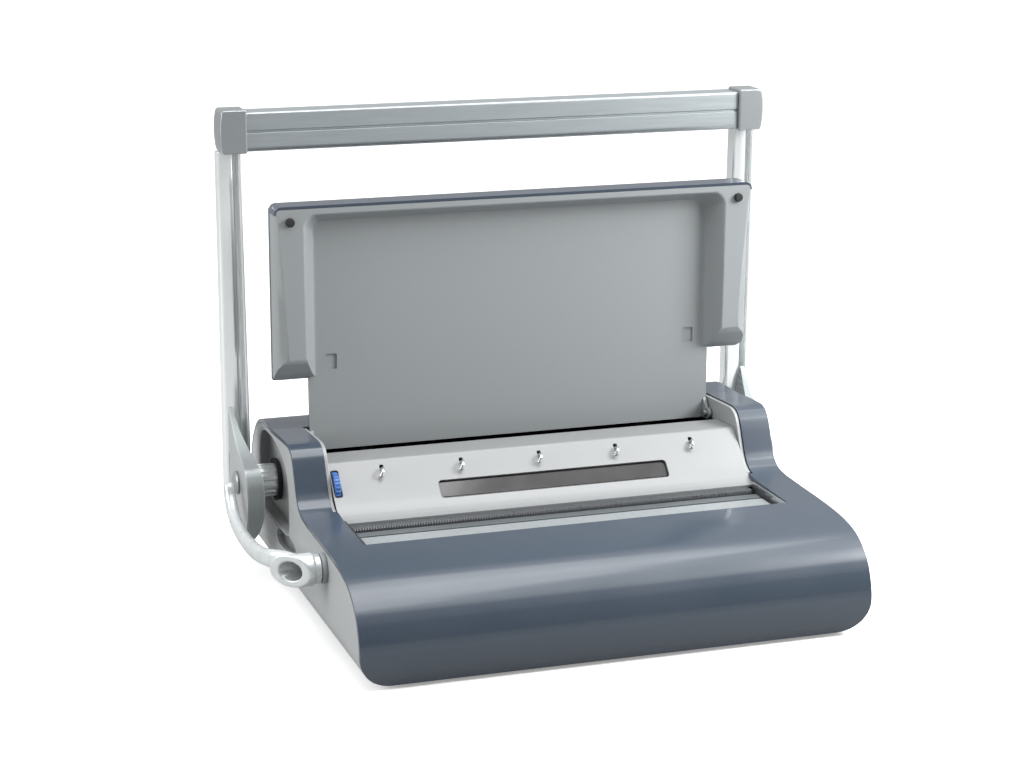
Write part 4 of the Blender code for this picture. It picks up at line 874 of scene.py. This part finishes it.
def make_grip():
    section = [(290.5, 340, 5.0), (315.5, 340, 5.0), (315.5, 371.2, 3.5), (290.5, 371.2, 2.0),
               (290.5, 357.3, 0.5), (291.9, 356.7, 0.2), (291.9, 355.6, 0.2), (290.5, 355.0, 0.5)]
    grip = extrusion("grip_bar", "x", rounded(section, 0), -207.7, 207.7)
    dressed(eased(grip, 0.25), "handle", "satin_grip_metal", "handle_grip")


def hub_outline(drop):
    """Egg outline that reaches the given height below its middle and rises into the arm."""
    middle_y, middle_z, reach, rise, face = 275.0, 73.0, 37.0, 33.0, 302.7
    lean = math.acos((face - middle_y) / reach)
    turns = [(-lean - (math.pi - lean) * step / 34, drop) for step in range(35)]
    turns += [(-math.pi - math.pi * 0.25 * step / 9, rise) for step in range(1, 10)]
    points = [(middle_y + reach * math.cos(turn), middle_z + height * math.sin(turn))
              for turn, height in turns]
    start, bend, end = Vector(points[-1]), Vector((280.2, 104.1)), Vector((face, 133.0))
    for step in range(1, 15):
        t = step / 14
        points.append(tuple(start * (1 - t) ** 2 + bend * 2 * t * (1 - t) + end * t * t))
    return points


def make_hubs():
    for name, side in sides("handle_hub"):
        low, high = span(side, 211.5, 225.5)
        # The right one ends higher, so that the chip tray can come out under it.
        hub = extrusion(name + "_plate", "x", hub_outline(45.0 if side < 0 else 38.0), low, high)
        lens = [(225.5, 20), (225.5, 140), (222.6, 140), (221.6, 128), (219.6, 117), (216.4, 106),
                (213.0, 96), (211.5, 88), (211.5, 66), (212.0, 56), (214.2, 44), (217.4, 35),
                (221.0, 27.5), (222.5, 20)]
        combined(hub, extrusion("lens", "y", mirrored(side, lens), 200, 320), "INTERSECT")
        carve(hub, rod("bore", "x", HUB, 8.3, low - 5, high + 5))
        dressed(eased(hub, 0.9, 3), "handle", "silver_moulding", name, finish="hub_painted_rim_shade")
        dome = [(225.8, 0.02), (225.8, 9.4), (226.8, 9.4), (228.4, 8.0), (229.6, 5.2), (230.1, 0.02)]
        cap = revolved(name + "_dome", "x", HUB, mirrored(side, dome), 72)
        cap_name = name.replace("handle_hub", "hub_cap")
        dressed(eased(cap, 0.2), "handle", "grey_moulding", cap_name, finish="satin_grey_abs")


def make_collars():
    for name, side in sides("shaft_collar"):
        points = []
        for flute in range(12):
            for share, radius in ((0.0, 13.2), (0.18, 13.35), (0.5, 13.2), (0.58, 12.2), (0.92, 12.2)):
                turn = 2 * math.pi * (flute + share) / 12
                points.append(polar(HUB, radius, turn))
        low, high = span(side, 192.0, 211.2)
        collar = extrusion(name + "_fluted", "x", points, low, high)
        carve(collar, rod("bore", "x", HUB, 8.3, low - 3, high + 3))
        dressed(eased(collar, 0.35), "handle", "grey_moulding", name, finish="bright_dipped_aluminium")


# Closing lever

def make_lever():
    y, z = LEVER
    # It swings outwards soon, so that the handle's arm can pass inside it.
    line = [(-217, 0.5, 1.0), (-220, 9.4, 1.4), (-224.5, 17, 1.9), (-231.5, 30, 0.8), (-235.4, 50, -2.2),
            (-236, 77, -5.6), (-236, 104, -6.8), (-236, 126, -5.0), (-236, 142, -0.8), (-236, 151, 5.0),
            (-236, 156.5, 11.5), (-236, 159.5, 18.0)]
    middle = smooth_path([(x, y + back, z + up) for x, back, up in line], 1.5)
    shares = [index / (len(middle) - 1) for index in range(len(middle))]
    halves = [(4.6, 6.6 + 3.0 * max(0.0, 1 - share * 4) - 0.8 * max(0.0, share * 5 - 4)) for share in shares]
    tip = Vector(middle[-1])
    travel = (tip - Vector(middle[-2])).normalized()
    for turn in (20, 40, 58, 74):
        middle.append(tuple(tip + travel * 5.4 * math.sin(math.radians(turn))))
        halves.append((4.6 * math.cos(math.radians(turn)) ** 0.6, 5.8 * math.cos(math.radians(turn))))
    arm = swept("lever_arm", middle, halves, oval())
    barrel = rod("barrel", "x", LEVER, 11.0, -212, -203.4)
    tube = rod("ring", "x", LEVER, 12.4, -241, -209)
    carve(tube, extrusion("slant", "z", [(-260, y + 34), (-260, y - 40), (-186, y - 40)],
                          z - 40, z + 40))
    fuse(arm, barrel, tube)
    carve(arm, rod("mouth", "x", LEVER, 7.2, -260, -212.5), rod("shaft", "x", LEVER, 4.8, -213, -200),
          ball("dimple", (-243.4, y + 159.0, z + 16.5), 4.6))
    blended(arm, 0.5, 26)
    dressed(arm, "closing_lever", "bright_handle_metal", "closing_lever", finish="satin_chromed_cast")
    bush = revolved("bush_ring", "x", LEVER,
                    [(-203.0, 4.8), (-199.7, 4.8), (-199.7, 11.4), (-202.4, 11.4), (-203.0, 10.8)])
    dressed(eased(bush, 0.2), "chassis", "grey_moulding", "lever_bush")


# Lid

def wedge(name, points, half=300.0):
    return extrusion(name, "x", points, -half, half)


def make_lid_shell(edge):
    half = [(TONGUE_HALF, 105, 6), (TONGUE_HALF, 164, 1.5), (CASE_HALF, 164, 2), (CASE_HALF, 305, 6)]
    shell = extrusion("lid_skin", "y", rounded(symmetric(half), 0, 8), 239, 260)
    inside = rounded(symmetric([(199.0, 90, 0), (199.0, 303, 5.6)]), 0, 8)
    carve(shell, extrusion("inside", "y", inside, 230, 258),
          wedge("chamfer", [(236, 150), (258, 150), (258, 165.9), (236, 186.9)]),
          block("side_step", (-210, 230, 100), (210, 255.8, 298.6)))
    dressed(eased(shell, edge), "lid", "deep_blue_moulding", "lid_shell")


def recess_layers():
    """The lining's recess from its mouth to its floor: a short roll, a steep wall and a soft corner."""
    shape = [(236.0, -0.30), (239.0, -0.26), (239.25, -0.12), (240.0, 0.0), (241.2, 0.09), (245.0, 0.33),
             (249.5, 0.61), (252.3, 0.79), (253.9, 0.91), (254.7, 1.03), (255.0, 1.25)]
    layers = []
    for y, share in shape:
        half, top = 174.8 - 9.5 * share, 297.0 - 7.0 * share
        outline = rounded(symmetric([(half, 120, 0), (half, top, 9)]), 0, 8)
        layers.append([(x, y, z) for x, z in outline])
    return layers


def side_slope(side):
    """Tool that slopes the lining's outer side from the skin to the front, less towards the top."""
    layers = []
    for z, front in ((150, 188.6), (170, 188.8), (200, 189.3), (230, 191.2), (250, 193.0), (275, 195.2),
                     (290, 196.6), (300, 197.9), (312, 199.6)):
        wide = 199.0 - front
        outline = [(300, 230), (front - 0.9, 230), (front - 0.3, 238.8), (front + wide * 0.2, 239.6),
                   (front + wide * 0.62, 241.6), (front + wide * 0.9, 244.6), (199.0, 249), (199.2, 255),
                   (199.2, 261), (300, 261)]
        layers.append([(side * x, y, z) for x, y in outline])
    return lofted("side_slope", layers)


def make_lid_tray(edge):
    outline = rounded(symmetric([(199.2, 164.3, 4), (199.2, 302.7, 5)]), 0, 8)
    tray = extrusion("lid_lining", "y", outline, 239, 257.7)
    carve(tray, lofted("recess", recess_layers()), side_slope(-1), side_slope(1),
          wedge("chamfer", [(230, 150), (256, 150), (256, 165.5), (253.5, 166.6), (249, 170.5), (242, 178.8),
                            (239, 184.6), (230, 202)]))
    tongue = rounded(symmetric([(TONGUE_HALF, 105, 6), (TONGUE_HALF, 168, 0)]), 0, 8)
    fuse(tray, extrusion("tongue", "y", tongue, 255, 257.7))
    for side in (-1, 1):
        low, high = span(side, TONGUE_HALF, 167.4)
        ear = rod("ear", "x", HINGE, 4.4, low, high, 40)
        web = extrusion("web", "x", [(247, 105.4), (255.4, 105.4), (255.4, 122), (249, 114.0)], low, high)
        fuse(tray, web, ear)
        low, high = span(side, 156.5, 147.5)
        carve(tray, rod("bore", "x", HINGE, 3.3, side * 167 - 9, side * 167 + 9, 40),
              extrusion("pocket", "y", rounded(rectangle(low, 170.5, high, 183), 1.2), 246, 256.3))
    dressed(eased(tray, edge), "lid", "grey_moulding", "lid_tray")


def make_bumpers():
    for name, side in sides("lid_bumper"):
        profile = [(238.7, 0.02), (235.8, 0.02), (235.8, 2.6), (236.3, 3.3), (237.2, 3.6), (238.7, 3.6)]
        bumper = revolved(name + "_button", "y", (side * 187.1, 292.8), profile, 48)
        dressed(eased(bumper, 0.15), "lid", "black_rubber", name)


# Base and hidden works

def make_screws():
    """Cross-recessed pan-head screws under the base pan, in two rows."""
    pan = frame["nodes"]["base_pan"]
    lowest = min((pan.matrix_world @ vertex.co).z for vertex in pan.data.vertices)
    under = (lowest - ORIGIN.z) / MILLIMETRE
    rows = []
    for y in (62, 284):
        profile = [(-1.3, 0.02), (-1.3, 2.2), (-0.9, 3.0), (-0.2, 3.3), (0.15, 3.3), (0.15, 0.02)]
        head = revolved("screw_head", "z", (0, 0), [(under + z, radius) for z, radius in profile], 40)
        carve(head, block("recess", (-2.0, -0.4, under - 2), (2.0, 0.4, under - 0.5)),
              block("recess_across", (-0.4, -2.0, under - 2), (0.4, 2.0, under - 0.5)))
        eased(head, 0)
        rows.append(repeated("screws", head, "bright_steel", 4, (-165, y, 0), (110, 0, 0)))
    dressed(gathered("base_screws", rows), "chassis", "zinc_plated_steel", finish="bright_steel")


def make_base():
    softened("base_pan", "chassis", "dark_moulding", 0.5)
    for end, y in (("front", 36), ("rear", 310)):
        for name, side in sides("foot_" + end):
            profile = [(-3.0, 0.02), (-3.0, 7.6), (-2.4, 8.7), (-1.6, 9.0), (-0.3, 9.0), (-0.3, 0.02)]
            foot = revolved(name + "_pad", "z", (side * 140, y), profile, 56)
            dressed(eased(foot, 0.2), "chassis", "black_rubber", name)


def make_works():
    """The punch set and the small pieces, with eased edges."""
    for name in ("die_plate", "stripper_plate"):
        softened(name, "chassis", "ground_steel", 0.2)
    softened("punch_bar", "punch_bar", "ground_steel", 0.2)
    softened("closer_end_left", "chassis", "dark_moulding", 0.25)
    softened("closer_end_right", "chassis", "zinc_plated_steel", 0.25, finish="bright_steel")
    softened("edge_guide", "edge_guide", "dark_moulding", 0.25)
    softened("chip_tray", "chip_tray", "dark_moulding", 0.5)


# Operators

class BinderCaseSettings(bpy.types.PropertyGroup):
    edge_round: FloatProperty(name="Edge round", description="Radius on the case's moulded edges",
                              default=0.0008, min=0.0001, max=0.002, unit="LENGTH")


class BinderLookSettings(bpy.types.PropertyGroup):
    skin_bump: FloatProperty(name="Skin grain", description="Strength of the moulded grain on the ABS parts",
                             default=0.3, min=0.0, max=1.0, subtype="FACTOR")


class BinderStageSettings(bpy.types.PropertyGroup):
    key_power: FloatProperty(name="Key light", description="Power of the soft box over the machine",
                             default=19.0, min=0.0, unit="POWER")
    sun_strength: FloatProperty(name="Overhead light", description="Strength of the wide light from above",
                                default=0.9, min=0.0)
    side_power: FloatProperty(name="Side light", description="Power of the soft box at the front right",
                              default=13.0, min=0.0, unit="POWER")
    left_power: FloatProperty(name="Left light", description="Power of the soft box at the left",
                              default=17.0, min=0.0, unit="POWER")
    floor_colour: FloatVectorProperty(name="Floor", description="Colour of the plain floor",
                                      default=(0.93, 0.93, 0.93), min=0, max=1, subtype="COLOR")


class BINDER_OT_finishes(bpy.types.Operator):
    """Make the machine's materials."""
    bl_idname = "binder.finishes"
    bl_label = "Make finishes"

    def execute(self, context):
        paint_plain_finishes(context.scene.binder_looks.skin_bump)
        paint_chromed_cast()
        paint_hub()
        paint_zinc()
        return {"FINISHED"}


class BINDER_OT_case(bpy.types.Operator):
    """Make the covers, side panels, hub wells and tower linings."""
    bl_idname = "binder.case"
    bl_label = "Make case"

    def execute(self, context):
        edge = context.scene.binder_case.edge_round / MILLIMETRE
        make_top_cover(edge)
        make_rear_cover(edge)
        make_side_panels(edge)
        make_hub_wells(edge)
        make_hand_scoop()
        make_tower_cheeks()
        return {"FINISHED"}


class BINDER_OT_panel(bpy.types.Operator):
    """Make the sloping punch panel and its window."""
    bl_idname = "binder.panel"
    bl_label = "Make punch panel"

    def execute(self, context):
        make_punch_panel(context.scene.binder_case.edge_round / MILLIMETRE)
        make_window()
        make_hooks()
        make_thumbwheel()
        make_wheel_surround()
        return {"FINISHED"}


class BINDER_OT_closer(bpy.types.Operator):
    """Make the two bars that squeeze the wire loops."""
    bl_idname = "binder.closer"
    bl_label = "Make closer"

    def execute(self, context):
        make_closer_bars()
        return {"FINISHED"}


class BINDER_OT_handle(bpy.types.Operator):
    """Make the punching handle with its hubs and collars."""
    bl_idname = "binder.handle"
    bl_label = "Make handle"

    def execute(self, context):
        make_arms()
        make_blocks()
        make_grip()
        make_hubs()
        make_collars()
        return {"FINISHED"}


class BINDER_OT_lever(bpy.types.Operator):
    """Make the closing lever and its bush."""
    bl_idname = "binder.lever"
    bl_label = "Make lever"

    def execute(self, context):
        make_lever()
        return {"FINISHED"}


class BINDER_OT_lid(bpy.types.Operator):
    """Make the lid's skin, its lining and the bumpers."""
    bl_idname = "binder.lid"
    bl_label = "Make lid"

    def execute(self, context):
        edge = context.scene.binder_case.edge_round / MILLIMETRE
        make_lid_shell(edge)
        make_lid_tray(edge)
        make_bumpers()
        return {"FINISHED"}


class BINDER_OT_base(bpy.types.Operator):
    """Make the base, the feet and the works inside."""
    bl_idname = "binder.base"
    bl_label = "Make base"

    def execute(self, context):
        make_base()
        make_screws()
        make_works()
        return {"FINISHED"}


class BINDER_OT_frame(bpy.types.Operator):
    """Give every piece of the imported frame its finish."""
    bl_idname = "binder.frame"
    bl_label = "Finish frame"

    def execute(self, context):
        slots = {part["node"]: part["material_slot"] for part in frame["record"]["subparts"]}
        for name, node in frame["nodes"].items():
            material = finishes[SLOT_FINISHES[slots[name]]]
            for slot in node.material_slots:
                slot.material = material
        return {"FINISHED"}


# Stage

CAMERA_PLACE = (-0.6043, -1.7140, 0.6403)
CAMERA_AZIMUTH = math.radians(18.71)
CAMERA_PITCH = math.radians(14.51)
CAMERA_ROLL = math.radians(0.25)
CAMERA_FOCAL = 84.81


def make_camera():
    cos_a, sin_a = math.cos(CAMERA_AZIMUTH), math.sin(CAMERA_AZIMUTH)
    cos_p, sin_p = math.cos(CAMERA_PITCH), math.sin(CAMERA_PITCH)
    view = Vector((sin_a * cos_p, cos_a * cos_p, -sin_p))
    level = Vector((cos_a, -sin_a, 0))
    upright = level.cross(view)
    right = level * math.cos(CAMERA_ROLL) + upright * math.sin(CAMERA_ROLL)
    up = upright * math.cos(CAMERA_ROLL) - level * math.sin(CAMERA_ROLL)
    data = bpy.data.cameras.new("camera")
    data.sensor_width = 36
    data.lens = CAMERA_FOCAL
    data.clip_start = 0.05
    made = new_object("camera", data)
    made.matrix_world = Matrix.Translation(CAMERA_PLACE) @ Matrix((right, up, -view)).transposed().to_4x4()
    bpy.context.scene.camera = made


def add_light(name, place, target, size, power):
    data = bpy.data.lights.new(name, "AREA")
    data.shape = "RECTANGLE"
    data.size, data.size_y = size
    data.energy = power
    made = new_object(name, data)
    made.location = place
    made.rotation_euler = (Vector(target) - Vector(place)).to_track_quat("-Z", "Y").to_euler()


def add_sun(strength):
    """Wide overhead light that keeps the floor white far back."""
    data = bpy.data.lights.new("overhead", "SUN")
    data.energy = strength
    data.angle = math.radians(60)
    new_object("overhead", data).rotation_euler = (math.radians(12), math.radians(8), 0)


def make_surroundings():
    """White studio, seen darker in reflections towards the front left and the rear right."""
    world = bpy.data.worlds.new("studio")
    world.use_nodes = True
    tree = world.node_tree
    ground = tree.nodes["Background"]
    direction = add_node(tree, "ShaderNodeTexCoord").outputs["Generated"]
    levels = []
    for towards, darkest, start, end in (((-0.28, -0.95, -0.1), 0.18, 0.0, 0.85),
                                         ((0.35, 0.93, -0.1), 0.5, 0.55, 0.92)):
        facing = add_node(tree, "ShaderNodeVectorMath", {0: direction, 1: towards}, operation="DOT_PRODUCT")
        dimmed = add_node(tree, "ShaderNodeMapRange", {
            "Value": facing.outputs["Value"], "From Min": start, "From Max": end, "To Min": 1.0,
            "To Max": darkest})
        levels.append(dimmed.outputs["Result"])
    level = add_node(tree, "ShaderNodeMath", {0: levels[0], 1: levels[1]}, operation="MULTIPLY")
    seen = add_node(tree, "ShaderNodeLightPath").outputs["Is Camera Ray"]
    strength = add_node(tree, "ShaderNodeMix", {
        "Factor": seen, 2: level.outputs[0], 3: 1.0}, data_type="FLOAT")
    feed(tree, ground, {0: (1, 1, 1, 1), 1: strength.outputs[0]})
    bpy.context.scene.world = world


def make_floor(colour):
    """Plain pale floor, duller to the machine's reflections than to the camera."""
    shape = bmesh.new()
    bmesh.ops.create_grid(shape, x_segments=8, y_segments=8, size=30)
    floor = from_bmesh("floor", shape)
    material = bpy.data.materials.new("studio_floor")
    material.use_nodes = True
    tree = material.node_tree
    seen = add_node(tree, "ShaderNodeLightPath").outputs["Is Camera Ray"]
    paper = add_node(tree, "ShaderNodeMix", {
        "Factor": seen, 6: (0.42, 0.42, 0.42, 1), 7: (*colour, 1)}, data_type="RGBA")
    glow = add_node(tree, "ShaderNodeMath", {0: seen, 1: 0.3}, operation="MULTIPLY")
    feed(tree, tree.nodes["Principled BSDF"], {
        "Base Color": paper.outputs[2], "Roughness": 0.9, "Emission Color": (1, 1, 1, 1),
        "Emission Strength": glow.outputs[0]})
    floor.data.materials.append(material)


class BINDER_OT_stage(bpy.types.Operator):
    """Make the camera, the pale floor and the soft studio light."""
    bl_idname = "binder.stage"
    bl_label = "Make stage"

    def execute(self, context):
        settings = context.scene.binder_stage
        make_camera()
        make_floor(settings.floor_colour)
        add_light("key", (0.3, -0.15, 1.9), (0, 0.0, 0), (2.0, 0.8), settings.key_power)
        add_light("side", (0.75, -0.32, 0.62), (0.2, 0.12, 0.36), (0.35, 0.35), settings.side_power)
        add_light("left", (-1.6, 0.02, 0.75), (-0.1, 0.05, 0.2), (1.0, 1.0), settings.left_power)
        add_sun(settings.sun_strength)
        make_surroundings()
        context.scene.view_settings.view_transform = "Standard"
        return {"FINISHED"}


class VIEW3D_PT_binder(bpy.types.Panel):
    bl_idname = "VIEW3D_PT_binder"
    bl_label = "Wire binding machine"
    bl_space_type = "VIEW_3D"
    bl_region_type = "UI"
    bl_category = "Binder"

    def draw(self, context):
        layout = self.layout
        layout.prop(context.scene.binder_case, "edge_round")
        for item in BUILD_ORDER:
            layout.operator(item.bl_idname)


SETTINGS = (("binder_case", BinderCaseSettings), ("binder_looks", BinderLookSettings),
            ("binder_stage", BinderStageSettings))
BUILD_ORDER = (BINDER_OT_finishes, BINDER_OT_frame, BINDER_OT_case, BINDER_OT_panel, BINDER_OT_closer,
               BINDER_OT_handle, BINDER_OT_lever, BINDER_OT_lid, BINDER_OT_base, BINDER_OT_stage)


def register():
    for name, settings in SETTINGS:
        bpy.utils.register_class(settings)
        setattr(bpy.types.Scene, name, PointerProperty(type=settings))
    for item in BUILD_ORDER + (VIEW3D_PT_binder,):
        bpy.utils.register_class(item)


def unregister():
    for item in reversed(BUILD_ORDER + (VIEW3D_PT_binder,)):
        bpy.utils.unregister_class(item)
    for name, settings in reversed(SETTINGS):
        delattr(bpy.types.Scene, name)
        bpy.utils.unregister_class(settings)


def main():
    register()
    for item in BUILD_ORDER:
        group, name = item.bl_idname.split(".")
        getattr(getattr(bpy.ops, group), name)()


if __name__ == "__main__":
    main()
